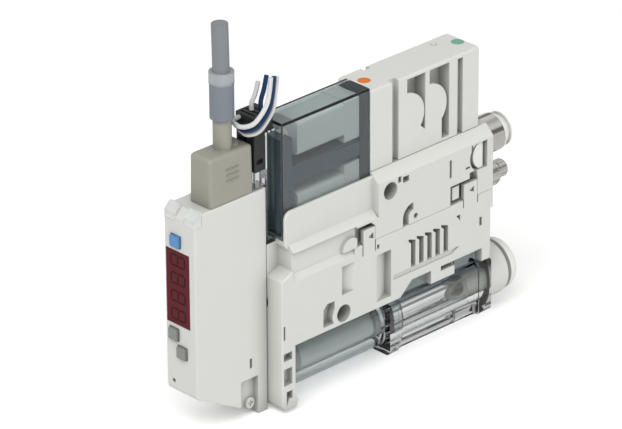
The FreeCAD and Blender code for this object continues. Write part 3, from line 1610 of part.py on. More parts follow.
def switch_cable():
    """Round cable of the switch, cut off a little above its sleeves."""
    points = [
        VECTOR(value("neck_x"), value("neck_y"), value("neck_floor")),
        VECTOR(value("neck_x"), value("neck_y"), value("cable_bend_z")),
        VECTOR(value("neck_x - cable_lean"), value("neck_y"), value("cable_end_z")),
    ]
    swept_tube("switch_cable", points, value("cable_radius"))


# ---------------------------------------------------------------- suction filter

def rounded_box(half, bottom, top, round_size):
    """Corners of a rectangle with four round corners, centred across the body."""
    return [
        (f"{round_size} - {half}", bottom),
        (f"{half} - {round_size}", bottom, round_size, "left"),
        (half, f"{bottom} + {round_size}"),
        (half, f"{top} - {round_size}", round_size, "left"),
        (f"{half} - {round_size}", top),
        (f"{round_size} - {half}", top, round_size, "left"),
        (f"-{half}", f"{top} - {round_size}"),
        (f"-{half}", f"{bottom} + {round_size}", round_size, "left"),
    ]


def filter_case():
    """Clear front case with a spigot that enters the port case."""
    body = new_part("filter_case")
    solid(body, "YZ", "case_front", "case_shoulder",
          rounded_box("case_half", "case_bottom", "case_top", "case_round"))
    solid(body, "YZ", "case_shoulder", "spigot_end", ("0", "filter_z", "spigot_radius"))
    solid(body, "YZ", "rail_front", "case_shoulder",
          box("-rail_half", "rail_half", "case_top - fit", "housing_bottom"))
    hollow(body, "YZ", "case_front + case_end_wall", "spigot_end",
           ("0", "filter_z", "case_bore"))
    hollow(body, "XY", "filter_z", "housing_bottom", ("suction_x", "0", "suction_radius"))
    document.recompute()
    groove_width = "spigot_groove_back - spigot_groove_front"
    sketch = drawing(body, "YZ", "spigot_groove_front")
    add_circle(sketch, "0", "filter_z", "spigot_radius + gap")
    add_circle(sketch, "0", "filter_z", "spigot_groove_radius")
    ring = body.newObject("PartDesign::Pocket", "RingGroove")
    ring.Profile = sketch
    ring.Reversed = True
    ring.setExpression("Length", tied(groove_width))


def case_o_ring():
    """Black ring in the groove of the spigot."""
    body = new_part("case_o_ring", "spigot_groove_front", "0", "filter_z")
    inner = "spigot_groove_radius + ring_clear"
    outer = "spigot_radius + fit * 2 - ring_clear / 2"
    turned(body, "X", [
        ("ring_clear", inner),
        ("ring_clear", outer),
        ("spigot_groove_back - spigot_groove_front - ring_clear", outer),
        ("spigot_groove_back - spigot_groove_front - ring_clear", inner),
    ])


def port_case():
    """Clear rear case with its end flanges, rail and suction port bore."""
    body = new_part("port_case")
    solid(body, "YZ", "flange_front", "flange_back",
          rounded_box("flange_half", "flange_bottom", "port_case_top", "port_case_round"))
    solid(body, "YZ", "flange_back", "port_case_back",
          rounded_box("port_case_half", "port_case_bottom", "port_case_top", "port_case_round"))
    solid(body, "YZ", "port_case_back", "end_flange_back",
          rounded_box("end_flange_half", "end_flange_bottom", "end_flange_top", "port_case_round"))
    solid(body, "YZ", "flange_front", "port_case_back",
          box("-rail_half", "rail_half", "port_case_top - fit", "housing_bottom"))
    solid(body, "XZ", "-(body_half - recess_depth - gap)", "body_half - recess_depth - gap",
          lower_pocket("gap", "port_case_top - fit"))
    hollow(body, "YZ", "flange_front", "spigot_end + gap",
           ("0", "filter_z", "spigot_radius + fit * 2"))
    hollow(body, "YZ", "spigot_end + gap", "vacuum_body_front",
           ("0", "filter_z", "chamber_bore"))
    hollow(body, "YZ", "vacuum_body_front", "end_flange_back",
           ("0", "vacuum_z", "vacuum_spigot_radius + fit"))
    for half, low, high in (("-", "-port_case_half", "case_bar - port_case_half"),
                            ("", "port_case_half - case_bar", "port_case_half")):
        hollow(body, "XZ", low, high, [
            ("flange_back + case_bar", "port_case_bottom"),
            ("port_case_back - case_bar", "port_case_bottom"),
            ("port_case_back - case_bar", "case_bar_z - case_bar"),
            ("flange_back + case_bar", "case_bar_z - case_bar"),
        ])


def filter_element():
    """Hollow white filter element."""
    body = new_part("filter_element", "element_front", "0", "filter_z")
    turned(body, "X", [
        ("0", "element_bore"),
        ("0", "element_radius"),
        ("element_length", "element_radius"),
        ("element_length", "element_bore"),
    ])


def filter_cap():
    """Cap with a post that holds the element against the front wall."""
    body = new_part("filter_cap", "case_front + case_end_wall", "0", "filter_z")
    face = "element_front - case_front - case_end_wall"
    turned(body, "X", [
        ("0", "0"),
        ("0", "case_bore - fit * 2"),
        (face, "case_bore - fit * 2"),
        (face, "element_post"),
        (f"{face} + element_cap", "element_post"),
        (f"{face} + element_cap", "0"),
    ])


def filter_stop():
    """Perforated stop behind the element."""
    body = new_part("filter_stop", "element_front + element_length", "0", "filter_z")
    turned(body, "X", [
        ("0", "element_bore * 0.7"),
        ("0", "case_bore - fit * 2"),
        ("element_cap", "case_bore - fit * 2"),
        ("element_cap", "element_bore * 0.7"),
    ])


# ---------------------------------------------------------------- rear ports

def supply_fitting():
    """One-touch fitting for the supply tube."""
    body = new_part("supply_fitting", "supply_seat_x", "0", "supply_port_z")
    groove_front = "clip_leg_front - gap - supply_seat_x"
    groove_back = "clip_leg_back + gap - supply_seat_x"
    end = "supply_body_back - supply_seat_x"
    floor = "supply_tube_floor - supply_seat_x"
    bush = "supply_bush_front - gap - bush_travel - supply_seat_x"
    turned(body, "X", [
        ("fit", "supply_gallery_radius"),
        ("fit", "supply_body_radius"),
        (groove_front, "supply_body_radius"),
        (groove_front, "supply_groove_radius"),
        (groove_back, "supply_groove_radius"),
        (groove_back, "supply_body_radius"),
        (end, "supply_body_radius"),
        (end, "supply_bush_radius + slide / 2"),
        (bush, "supply_bush_radius + slide / 2"),
        (bush, "supply_tube"),
        (floor, "supply_tube"),
        (floor, "supply_gallery_radius"),
    ])


def supply_guide_ring():
    """White ring on the end of the supply fitting."""
    body = new_part("supply_guide_ring", "supply_body_back", "0", "supply_port_z")
    turned(body, "X", [
        ("0", "supply_bush_radius + slide / 2"),
        ("0", "ring_radius"),
        ("ring_length * 0.6", "ring_radius"),
        ("ring_length", "ring_radius - ring_length * 0.4"),
        ("ring_length", "supply_bush_radius + slide / 2"),
    ])


def supply_release_bush():
    """Push-in bush that frees the supply tube."""
    body = new_part("supply_release_bush", "supply_bush_front", "0", "supply_port_z")
    rim = "supply_body_back + ring_length + bush_gap - supply_bush_front"
    end = "supply_bush_back - supply_bush_front"
    turned(body, "X", [
        ("0", "supply_bush_bore"),
        ("0", "supply_bush_radius"),
        (rim, "supply_bush_radius"),
        (rim, "supply_bush_rim"),
        (f"{end} - bush_gap / 4", "supply_bush_rim"),
        (end, "supply_bush_rim - bush_gap / 4"),
        (end, "supply_bush_bore"),
    ])


def vacuum_fitting():
    """White round-nosed fitting of the suction port."""
    body = new_part("vacuum_fitting", "vacuum_body_front", "0", "vacuum_z")
    flange = "end_flange_back - vacuum_body_front"
    end = "vacuum_body_back - vacuum_body_front"
    floor = "vacuum_tube_floor - vacuum_body_front"
    bush = "vacuum_bush_front - gap - bush_travel - vacuum_body_front"
    turned(body, "X", [
        ("fit", "vacuum_tube * 0.7"),
        ("fit", "vacuum_spigot_radius"),
        (flange, "vacuum_spigot_radius"),
        (flange, "vacuum_body_radius"),
        (f"{end} - vacuum_rim_length / 4", "vacuum_body_radius", "vacuum_rim_length / 4", "right"),
        (end, "vacuum_body_radius - vacuum_rim_length / 4"),
        (end, "vacuum_bush_radius + slide / 2"),
        (bush, "vacuum_bush_radius + slide / 2"),
        (bush, "vacuum_tube"),
        (floor, "vacuum_tube"),
        (floor, "vacuum_tube * 0.7"),
    ])


def vacuum_release_bush():
    """Push-in bush with a rounded rim that frees the suction tube."""
    body = new_part("vacuum_release_bush", "vacuum_bush_front", "0", "vacuum_z")
    rim = "vacuum_body_back + bush_gap - vacuum_bush_front"
    end = "vacuum_bush_back - vacuum_bush_front"
    curve = "vacuum_bush_rim - vacuum_bush_bore"
    turned(body, "X", [
        ("0", "vacuum_bush_bore"),
        ("0", "vacuum_bush_radius"),
        (rim, "vacuum_bush_radius"),
        (rim, "vacuum_bush_rim"),
        (f"{end} - ({curve})", "vacuum_bush_rim", curve, "right"),
        (end, "vacuum_bush_bore"),
    ])


def needle_bush():
    """Threaded bush that guides the release flow needle."""
    body = new_part("needle_bush", "needle_bush_front", "0", "needle_z")
    end = "needle_bush_back - needle_bush_front"
    turned(body, "X", [
        ("fit", "needle_bush_bore"),
        ("fit", "needle_bush_radius"),
        (end, "needle_bush_radius"),
        (end, "needle_bush_bore"),
    ])


def needle_lock_nut():
    """Knurled lock nut on the bush."""
    body = new_part("needle_lock_nut", "nut_front", "0", "needle_z")
    end = "nut_back - nut_front"
    turned(body, "X", [
        ("0", "needle_bush_radius + fit"),
        ("0", "nut_radius - fit * 6"),
        ("fit * 6", "nut_radius"),
        (f"{end} - fit * 6", "nut_radius"),
        (end, "nut_radius - fit * 6"),
        (end, "needle_bush_radius + fit"),
    ])


def release_needle():
    """Needle with a knurled knob that sets the release flow."""
    body = new_part("release_needle", "knob_front", "0", "needle_z")
    end = "knob_back - knob_front"
    turned(body, "X", [
        ("needle_tip_x - knob_front", "0"),
        ("needle_tip_x - knob_front", "needle_orifice / 2"),
        ("needle_point_x - knob_front", "needle_orifice"),
        ("needle_bush_front + gap - knob_front", "needle_orifice"),
        ("needle_bush_front + gap * 4 - knob_front", "needle_stem"),
        ("0", "needle_stem"),
        ("0", "knob_radius - fit * 5"),
        ("fit * 5", "knob_radius"),
        (f"{end} - fit * 5", "knob_radius"),
        (end, "knob_radius - fit * 5"),
        (end, "0"),
    ])


# ---------------------------------------------------------------- build and write

def build_all():
    """Build every part."""
    ejector_housing()
    ejector_end_plug()
    nozzle()
    diffuser()
    silencer()
    check_valve()
    manifold_body()
    fitting_clip()
    valve_body()
    valve_gasket()
    spool("supply_spool", "supply_spool_z")
    spool("release_spool", "release_spool_z")
    override("supply_override", "supply_override_x")
    override("release_override", "release_override_x")
    pilot_cover()
    pilot_adapter()
    pilot_frame()
    coil("supply_coil", "upper_coil_bottom", "upper_coil_top")
    coil("release_coil", "lower_coil_bottom", "lower_coil_top")
    pilot_body("supply_pilot_body", "upper_pilot_bottom", "upper_pilot_top")
    pilot_body("release_pilot_body", "lower_pilot_bottom", "lower_pilot_top")
    supply_plug()
    release_plug()
    lead_wires()
    switch_housing()
    switch_back_plate()
    switch_port_seal()
    switch_display()
    key("set_button", "set_y", "set_z", "set_width", "set_height", "button_flange")
    key("up_button", "up_y", "up_z", "arrow_size", "arrow_size", "set_flange_far")
    key("down_button", "down_y", "down_z", "arrow_size", "arrow_size", "button_flange")
    indicator_lens("near_indicator_lens", "switch_near + fit", "switch_near + lens_width - fit")
    indicator_lens("far_indicator_lens", "switch_far - lens_width + fit", "switch_far - fit")
    switch_circuit_board()
    pressure_sensor()
    switch_screw()
    connector_boot()
    sleeve("cable_sleeve", "neck_top", "sleeve_top", "sleeve_radius", "fit")
    sleeve("clear_sleeve", "sleeve_top", "clear_top", "clear_radius", "clear_play")
    switch_cable()
    filter_case()
    case_o_ring()
    port_case()
    filter_element()
    filter_cap()
    filter_stop()
    supply_fitting()
    supply_guide_ring()
    supply_release_bush()
    vacuum_fitting()
    vacuum_release_bush()
    needle_bush()
    needle_lock_nut()
    release_needle()
    document.recompute()


def check_all():
    """Stop when a feature failed or a part is not a sound solid."""
    faults = []
    for item in document.Objects:
        if "Invalid" in item.State or "Error" in item.State:
            faults.append(item.Label)
    for name, part in PARTS.items():
        shape = part.Shape
        if shape.isNull() or not shape.isValid() or not shape.Solids:
            faults.append(name)
    if faults:
        raise RuntimeError("failed: " + ", ".join(faults))


def write_all():
    """Write one STEP file a part and report its size."""
    os.makedirs("parts", exist_ok=True)
    triangles = 0
    for name, part in PARTS.items():
        part.Shape.exportStep(f"parts/{name}.step")
        facets = len(part.Shape.tessellate(0.1)[1])
        triangles += facets
        print(name, len(part.Shape.Solids), "solid", round(part.Shape.Volume, 1), "mm3", facets)
    print("triangles", triangles)


build_all()
check_all()
write_all()
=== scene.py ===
# %% [markdown]
# # A slim vacuum ejector, dressed for the studio
# The object is an in-line vacuum ejector: a white moulded body with a digital pressure switch in
# front, a twin pilot valve with a smoked cover on top, a clear suction filter underneath and
# three ports at the rear.  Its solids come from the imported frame, each already in its place, so
# this script adds what the frame can't hold: finishes, the free cable, knurls, ribs and light.

# %% Load the frame
import bmesh
import bpy
import json
import math
from mathutils import Matrix, Vector

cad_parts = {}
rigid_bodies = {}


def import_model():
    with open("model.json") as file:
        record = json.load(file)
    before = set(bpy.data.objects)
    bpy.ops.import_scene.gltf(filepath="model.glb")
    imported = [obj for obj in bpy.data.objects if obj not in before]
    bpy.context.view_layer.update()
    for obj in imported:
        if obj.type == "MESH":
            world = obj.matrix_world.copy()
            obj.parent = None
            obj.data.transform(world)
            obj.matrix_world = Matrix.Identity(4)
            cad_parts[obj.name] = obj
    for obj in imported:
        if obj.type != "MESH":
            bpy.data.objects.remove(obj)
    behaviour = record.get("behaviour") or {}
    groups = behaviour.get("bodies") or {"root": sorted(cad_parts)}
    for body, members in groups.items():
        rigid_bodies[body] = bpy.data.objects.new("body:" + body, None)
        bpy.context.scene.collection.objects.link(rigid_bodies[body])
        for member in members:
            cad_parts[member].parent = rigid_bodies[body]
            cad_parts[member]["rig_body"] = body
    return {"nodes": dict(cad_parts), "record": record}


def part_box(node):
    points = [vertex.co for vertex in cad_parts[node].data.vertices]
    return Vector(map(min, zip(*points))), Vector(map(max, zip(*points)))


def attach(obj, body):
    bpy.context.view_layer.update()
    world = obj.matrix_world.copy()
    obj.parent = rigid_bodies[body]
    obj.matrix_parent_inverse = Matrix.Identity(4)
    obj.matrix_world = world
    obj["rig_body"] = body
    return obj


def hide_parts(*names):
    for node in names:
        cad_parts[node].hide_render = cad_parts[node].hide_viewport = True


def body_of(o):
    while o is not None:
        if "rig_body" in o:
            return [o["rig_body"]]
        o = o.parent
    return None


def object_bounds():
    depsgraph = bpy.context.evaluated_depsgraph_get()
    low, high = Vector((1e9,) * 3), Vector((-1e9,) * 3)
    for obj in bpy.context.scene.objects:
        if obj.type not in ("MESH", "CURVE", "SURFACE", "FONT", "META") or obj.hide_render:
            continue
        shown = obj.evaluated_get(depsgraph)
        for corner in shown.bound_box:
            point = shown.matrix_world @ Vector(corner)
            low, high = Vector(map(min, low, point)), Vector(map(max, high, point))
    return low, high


for leftover in list(bpy.data.objects):
    bpy.data.objects.remove(leftover)
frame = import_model()
cad_low, cad_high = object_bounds()
print("frame box", [round(v, 4) for v in cad_low], [round(v, 4) for v in cad_high])

# %% [markdown]
# ## Camera
# A product shot of a small part is taken from a distance with a long lens, which keeps the
# edges nearly parallel.  The camera could be turned by hand, but aiming it at a point keeps its
# place and its direction apart, so either may be changed alone.

# %% Aim a long lens at the middle of the part
CAMERA_PLACE = Vector((-0.72078, -0.75000, 0.53750))
CAMERA_AIM = Vector((-0.0100, -0.0075, 0.0286))
CAMERA_ROLL = math.radians(-0.351)
MM = 0.001


def make_camera():
    lens = bpy.data.cameras.new("studio_camera")
    lens.lens = 294.8
    lens.sensor_width = 36.0
    lens.clip_start = 0.05
    lens.clip_end = 20.0
    camera = bpy.data.objects.new("studio_camera", lens)
    bpy.context.scene.collection.objects.link(camera)
    look = (CAMERA_AIM - CAMERA_PLACE).to_track_quat("-Z", "Y").to_matrix().to_4x4()
    camera.matrix_world = (Matrix.Translation(CAMERA_PLACE) @ look
                           @ Matrix.Rotation(CAMERA_ROLL, 4, "Z"))
    bpy.context.scene.camera = camera
    return camera


camera = make_camera()
print("camera distance", round((CAMERA_AIM - CAMERA_PLACE).length, 3))

# %% [markdown]
# ## The switch's cable
# The cable leaves the boot of the switch straight up and leans forward a little where it is cut
# off.  A cable is one smooth line, so it is a NURBS curve through a few chosen points, with a
# round bevel for its sheath, rather than a mesh of bent pipes.  A curve's box is worked out from
# the radius of its points, so the sheath's radius is set there and the bevel is left at one.

# %% Lay the cable
CABLE_ROUTE = [(-0.0292, 0.00075, 0.0492), (-0.0292, 0.00075, 0.0669),
               (-0.02955, 0.00075, 0.0793)]
CABLE_DIAMETER = 0.0039


def make_cable():
    line = bpy.data.curves.new("signal_cable", "CURVE")
    line.dimensions = "3D"
    line.bevel_depth = 1.0
    line.bevel_resolution = 10
    line.resolution_u = 24
    line.use_fill_caps = True
    spline = line.splines.new("NURBS")
    spline.points.add(len(CABLE_ROUTE) - 1)
    for point, place in zip(spline.points, CABLE_ROUTE):
        point.co = (*place, 1.0)
        point.radius = CABLE_DIAMETER / 2
    spline.order_u = 3
    spline.use_endpoint_u = True
    cable = bpy.data.objects.new("signal_cable", line)
    bpy.context.scene.collection.objects.link(cable)
    return cable


cable = make_cable()
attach(cable, "ejector")
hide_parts("switch_cable")
print("cable points", len(CABLE_ROUTE))

# %% [markdown]
# ## Floor and light
# The part stands on a pale sweep.  A large plane is enough, because the camera looks down on it.
# Its own colour is nearly white; the world is white where the camera, a reflection or a clear
# wall looks at it, and softer where it only lights the part, so pale faces keep their shape.

# %% Floor
FLOOR_REACH = 6.0
FLOOR_LIFT = 0.34


def new_material(name):
    material = bpy.data.materials.new(name)
    material.use_nodes = True
    material.node_tree.nodes.clear()
    return material


def add(tree, kind, place=(0, 0), **values):
    """A node with its properties and its sockets' plain values set by name."""
    made = tree.nodes.new(kind)
    made.location = place
    for key, value in values.items():
        if hasattr(made, key):
            setattr(made, key, value)
        else:
            made.inputs[key.replace("_", " ")].default_value = value
    return made


def join(tree, *pairs):
    for source, target in pairs:
        tree.links.new(source, target)


def floor_material():
    material = new_material("pale_floor")
    tree = material.node_tree
    out = add(tree, "ShaderNodeOutputMaterial", (400, 0))
    skin = add(tree, "ShaderNodeBsdfPrincipled", (100, 0), Roughness=0.75)
    skin.inputs["Emission Color"].default_value = (1.0, 1.0, 1.0, 1)
    path = add(tree, "ShaderNodeLightPath", (-500, -300))
    lift = add(tree, "ShaderNodeMath", (-250, -300), operation="MULTIPLY")
    lift.inputs[1].default_value = FLOOR_LIFT
    drift = add(tree, "ShaderNodeTexNoise", (-500, 0), Scale=3.0, Detail=2.0)
    tone = add(tree, "ShaderNodeValToRGB", (-250, 0))
    tone.color_ramp.elements[0].color = (0.90, 0.90, 0.90, 1)
    tone.color_ramp.elements[1].color = (0.93, 0.93, 0.93, 1)
    coords = add(tree, "ShaderNodeTexCoord", (-700, 0))
    join(tree, (path.outputs["Is Camera Ray"], lift.inputs[0]),
         (lift.outputs[0], skin.inputs["Emission Strength"]),
         (coords.outputs["Object"], drift.inputs["Vector"]),
         (drift.outputs["Fac"], tone.inputs["Fac"]),
         (tone.outputs["Color"], skin.inputs["Base Color"]),
         (skin.outputs["BSDF"], out.inputs["Surface"]))
    return material


def make_floor(height):
    mesh = bpy.data.meshes.new("floor")
    reach = FLOOR_REACH / 2
    corners = [(-reach, -reach, height), (reach, -reach, height),
               (reach, reach, height), (-reach, reach, height)]
    mesh.from_pydata(corners, [], [(0, 1, 2, 3)])
    floor = bpy.data.objects.new("floor", mesh)
    bpy.context.scene.collection.objects.link(floor)
    mesh.materials.append(floor_material())
    return floor


floor = make_floor(cad_low[2] - 0.05 * MM)
print("floor at", round(floor.data.vertices[0].co.z, 5))

# %% World and lamps
WORLD_LIGHT = 0.42
REFLECTED_BANDS = [(0.10, 0.80), (0.22, 0.22), (0.42, 0.16),
                   (0.55, 0.95), (0.72, 0.90), (0.80, 0.30)]


def make_world():
    world = bpy.data.worlds.new("studio")
    world.use_nodes = True
    tree = world.node_tree
    tree.nodes.clear()
    out = add(tree, "ShaderNodeOutputWorld", (600, 0))
    lit = add(tree, "ShaderNodeBackground", (200, 100), Strength=WORLD_LIGHT)
    lit.inputs["Color"].default_value = (1.0, 1.0, 1.0, 1)
    seen = add(tree, "ShaderNodeBackground", (200, -100), Strength=1.0)
    seen.inputs["Color"].default_value = (1.0, 1.0, 1.0, 1)
    path = add(tree, "ShaderNodeLightPath", (-300, 0))
    coords = add(tree, "ShaderNodeTexCoord", (-900, -300))
    axes = add(tree, "ShaderNodeSeparateXYZ", (-700, -300))
    bands = add(tree, "ShaderNodeValToRGB", (-500, -300))
    ramp = bands.color_ramp
    ramp.elements[0].color = (0.90, 0.90, 0.90, 1)
    ramp.elements[1].color = (0.85, 0.86, 0.88, 1)
    for place, tone in REFLECTED_BANDS:
        ramp.elements.new(place).color = (tone, tone, tone, 1)
    shown = add(tree, "ShaderNodeMix", (-50, -300), data_type="RGBA")
    shown.inputs["A"].default_value = (1.0, 1.0, 1.0, 1)
    join(tree, (coords.outputs["Generated"], axes.inputs[0]),
         (axes.outputs["Z"], bands.inputs["Fac"]),
         (path.outputs["Is Glossy Ray"], shown.inputs["Factor"]),
         (bands.outputs["Color"], shown.inputs["B"]),
         (shown.outputs["Result"], seen.inputs["Color"]))
    either = add(tree, "ShaderNodeMath", (-50, 100), operation="MAXIMUM")
    any_of = add(tree, "ShaderNodeMath", (100, 200), operation="MAXIMUM")
    pick = add(tree, "ShaderNodeMixShader", (400, 0))
    join(tree, (path.outputs["Is Camera Ray"], either.inputs[0]),
         (path.outputs["Is Glossy Ray"], either.inputs[1]),
         (either.outputs[0], any_of.inputs[0]),
         (path.outputs["Is Transmission Ray"], any_of.inputs[1]),
         (any_of.outputs[0], pick.inputs["Fac"]),
         (lit.outputs[0], pick.inputs[1]), (seen.outputs[0], pick.inputs[2]),
         (pick.outputs[0], out.inputs["Surface"]))
    bpy.context.scene.world = world


def make_lamp(name, place, size, power, tint=(1, 1, 1)):
    lamp = bpy.data.lights.new(name, "AREA")
    lamp.shape = "RECTANGLE"
    lamp.size, lamp.size_y = size
    lamp.energy = power
    lamp.color = tint
    holder = bpy.data.objects.new(name, lamp)
    bpy.context.scene.collection.objects.link(holder)
    aim = (CAMERA_AIM - Vector(place)).to_track_quat("-Z", "Y").to_matrix().to_4x4()
    holder.matrix_world = Matrix.Translation(place) @ aim
    return holder


make_world()
make_lamp("key_softbox", (-0.50, -0.30, 0.85), (0.7, 0.5), 6.1, (1.0, 0.99, 0.97))
make_lamp("side_softbox", (0.35, -0.95, 0.35), (0.6, 0.6), 1.8)
bpy.context.scene.view_settings.view_transform = "Standard"

# %% [markdown]
# ## Effects that several finishes share
# Moulded resin is never one flat colour: its tone drifts a little over the piece, the gloss
# with it, and the surface carries the fine grain of the mould.  That effect is a node group with
# named sockets, built once, so every resin only states its own colour and amounts; the same group
# also paints shade into the colour of hollows and corners.  A second group rounds the light over
# sharp edges, as a real moulding's small radii do, and paints a highlight into the colour there
# (on the keys, shade).  A third draws the fine turning rings of metal that came off a lathe, and a
# fourth paints shade into a clear case above a height, where it runs up behind the housing's edge.

# %% Group helper
def new_group(name, inputs, outputs):
    """An empty shader group with its sockets; inputs are (name, kind, default)."""
    group = bpy.data.node_groups.new(name, "ShaderNodeTree")
    for label, kind, default in inputs:
        socket = group.interface.new_socket(label, in_out="INPUT", socket_type=kind)
        if default is not None:
            socket.default_value = default
    for label, kind in outputs:
        group.interface.new_socket(label, in_out="OUTPUT", socket_type=kind)
    ends = (group.nodes.new("NodeGroupInput"), group.nodes.new("NodeGroupOutput"))
    ends[0].location, ends[1].location = (-1200, 0), (900, 0)
    return group, ends[0].outputs, ends[1].inputs


print("shader groups so far", len(bpy.data.node_groups))

# %% Moulded skin group
def moulded_skin():
    group, given, wanted = new_group(
        "moulded_skin",
        [("Colour", "NodeSocketColor", (0.8, 0.8, 0.8, 1)),
         ("Drift", "NodeSocketFloat", 0.03),
         ("Roughness", "NodeSocketFloat", 0.4),
         ("Gloss Drift", "NodeSocketFloat", 0.12),
         ("Grain", "NodeSocketFloat", 3500.0),
         ("Shade", "NodeSocketFloat", 0.0),
         ("Shade Reach", "NodeSocketFloat", 0.006)],
        [("Colour", "NodeSocketColor"), ("Roughness", "NodeSocketFloat"),
         ("Height", "NodeSocketFloat")])
    coords = add(group, "ShaderNodeTexCoord", (-1200, -300))
    broad = add(group, "ShaderNodeTexNoise", (-900, 100), Scale=55.0, Detail=3.0)
    fine = add(group, "ShaderNodeTexNoise", (-900, -300), Detail=2.0)
    centred = add(group, "ShaderNodeMath", (-600, 200), operation="SUBTRACT")
    centred.inputs[1].default_value = 0.5
    shift = add(group, "ShaderNodeMath", (-400, 200), operation="MULTIPLY")
    level = add(group, "ShaderNodeMath", (-200, 200), operation="ADD")
    level.inputs[1].default_value = 1.0
    # Painted shade: the colour is darkened where the AO node finds nearby surfaces closing in, by
    # Shade within Shade Reach.
    corner = add(group, "ShaderNodeAmbientOcclusion", (-600, 500), samples=8)
    open_air = add(group, "ShaderNodeMath", (-400, 500), operation="SUBTRACT")
    open_air.inputs[0].default_value = 1.0
    painted_corner_dimming = add(group, "ShaderNodeMath", (-200, 500), operation="MULTIPLY")
    kept = add(group, "ShaderNodeMath", (0, 500), operation="SUBTRACT")
    kept.inputs[0].default_value = 1.0
    both = add(group, "ShaderNodeMath", (100, 350), operation="MULTIPLY")
    tone = add(group, "ShaderNodeVectorMath", (300, 200), operation="SCALE")
    sheen = add(group, "ShaderNodeMath", (-200, -100), operation="MULTIPLY")
    gloss = add(group, "ShaderNodeMath", (200, -100), operation="ADD", use_clamp=True)
    join(group,
         (coords.outputs["Object"], broad.inputs["Vector"]),
         (coords.outputs["Object"], fine.inputs["Vector"]),
         (given["Grain"], fine.inputs["Scale"]),
         (broad.outputs["Fac"], centred.inputs[0]),
         (centred.outputs[0], shift.inputs[0]), (given["Drift"], shift.inputs[1]),
         (shift.outputs[0], level.inputs[0]),
         (given["Shade Reach"], corner.inputs["Distance"]),
         (corner.outputs["AO"], open_air.inputs[1]),
         (open_air.outputs[0], painted_corner_dimming.inputs[0]), (given["Shade"], painted_corner_dimming.inputs[1]),
         (painted_corner_dimming.outputs[0], kept.inputs[1]),
         (level.outputs[0], both.inputs[0]), (kept.outputs[0], both.inputs[1]),
         (given["Colour"], tone.inputs[0]), (both.outputs[0], tone.inputs["Scale"]),
         (tone.outputs[0], wanted["Colour"]),
         (centred.outputs[0], sheen.inputs[0]), (given["Gloss Drift"], sheen.inputs[1]),
         (sheen.outputs[0], gloss.inputs[0]), (given["Roughness"], gloss.inputs[1]),
         (gloss.outputs[0], wanted["Roughness"]),
         (fine.outputs["Fac"], wanted["Height"]))
    return group


MOULDED = moulded_skin()
print("group", MOULDED.name)

# %% Soft edge group
def rounded_edge_painted_light():
    group, given, wanted = new_group(
        "rounded_edge_painted_light",
        [("Colour", "NodeSocketColor", (0.8, 0.8, 0.8, 1)),
         ("Edge Colour", "NodeSocketColor", (0.9, 0.9, 0.9, 1)),
         ("Amount", "NodeSocketFloat", 0.5),
         ("Radius", "NodeSocketFloat", 0.00025)],
        [("Colour", "NodeSocketColor"), ("Normal", "NodeSocketVector")])
    rounded = add(group, "ShaderNodeBevel", (-900, -100), samples=4)
    flat = add(group, "ShaderNodeNewGeometry", (-900, 200))
    agree = add(group, "ShaderNodeVectorMath", (-650, 100), operation="DOT_PRODUCT")
    turn = add(group, "ShaderNodeMapRange", (-400, 100), clamp=True)
    turn.inputs["From Min"].default_value = 1.0
    turn.inputs["From Max"].default_value = 0.75
    # Painted edge light: the colour turns to Edge Colour where the rounded normal bends away from
    # the flat one, a highlight when paler, shade when darker.
    share = add(group, "ShaderNodeMath", (-150, 100), operation="MULTIPLY")
    blend = add(group, "ShaderNodeMix", (150, 200), data_type="RGBA")
    join(group,
         (given["Radius"], rounded.inputs["Radius"]),
         (rounded.outputs["Normal"], agree.inputs[0]), (flat.outputs["Normal"], agree.inputs[1]),
         (agree.outputs["Value"], turn.inputs["Value"]),
         (turn.outputs["Result"], share.inputs[0]), (given["Amount"], share.inputs[1]),
         (share.outputs[0], blend.inputs["Factor"]),
         (given["Colour"], blend.inputs["A"]), (given["Edge Colour"], blend.inputs["B"]),
         (blend.outputs["Result"], wanted["Colour"]),
         (rounded.outputs["Normal"], wanted["Normal"]))
    return group


EDGE_PAINTED_LIGHT = rounded_edge_painted_light()
print("group", EDGE_PAINTED_LIGHT.name)

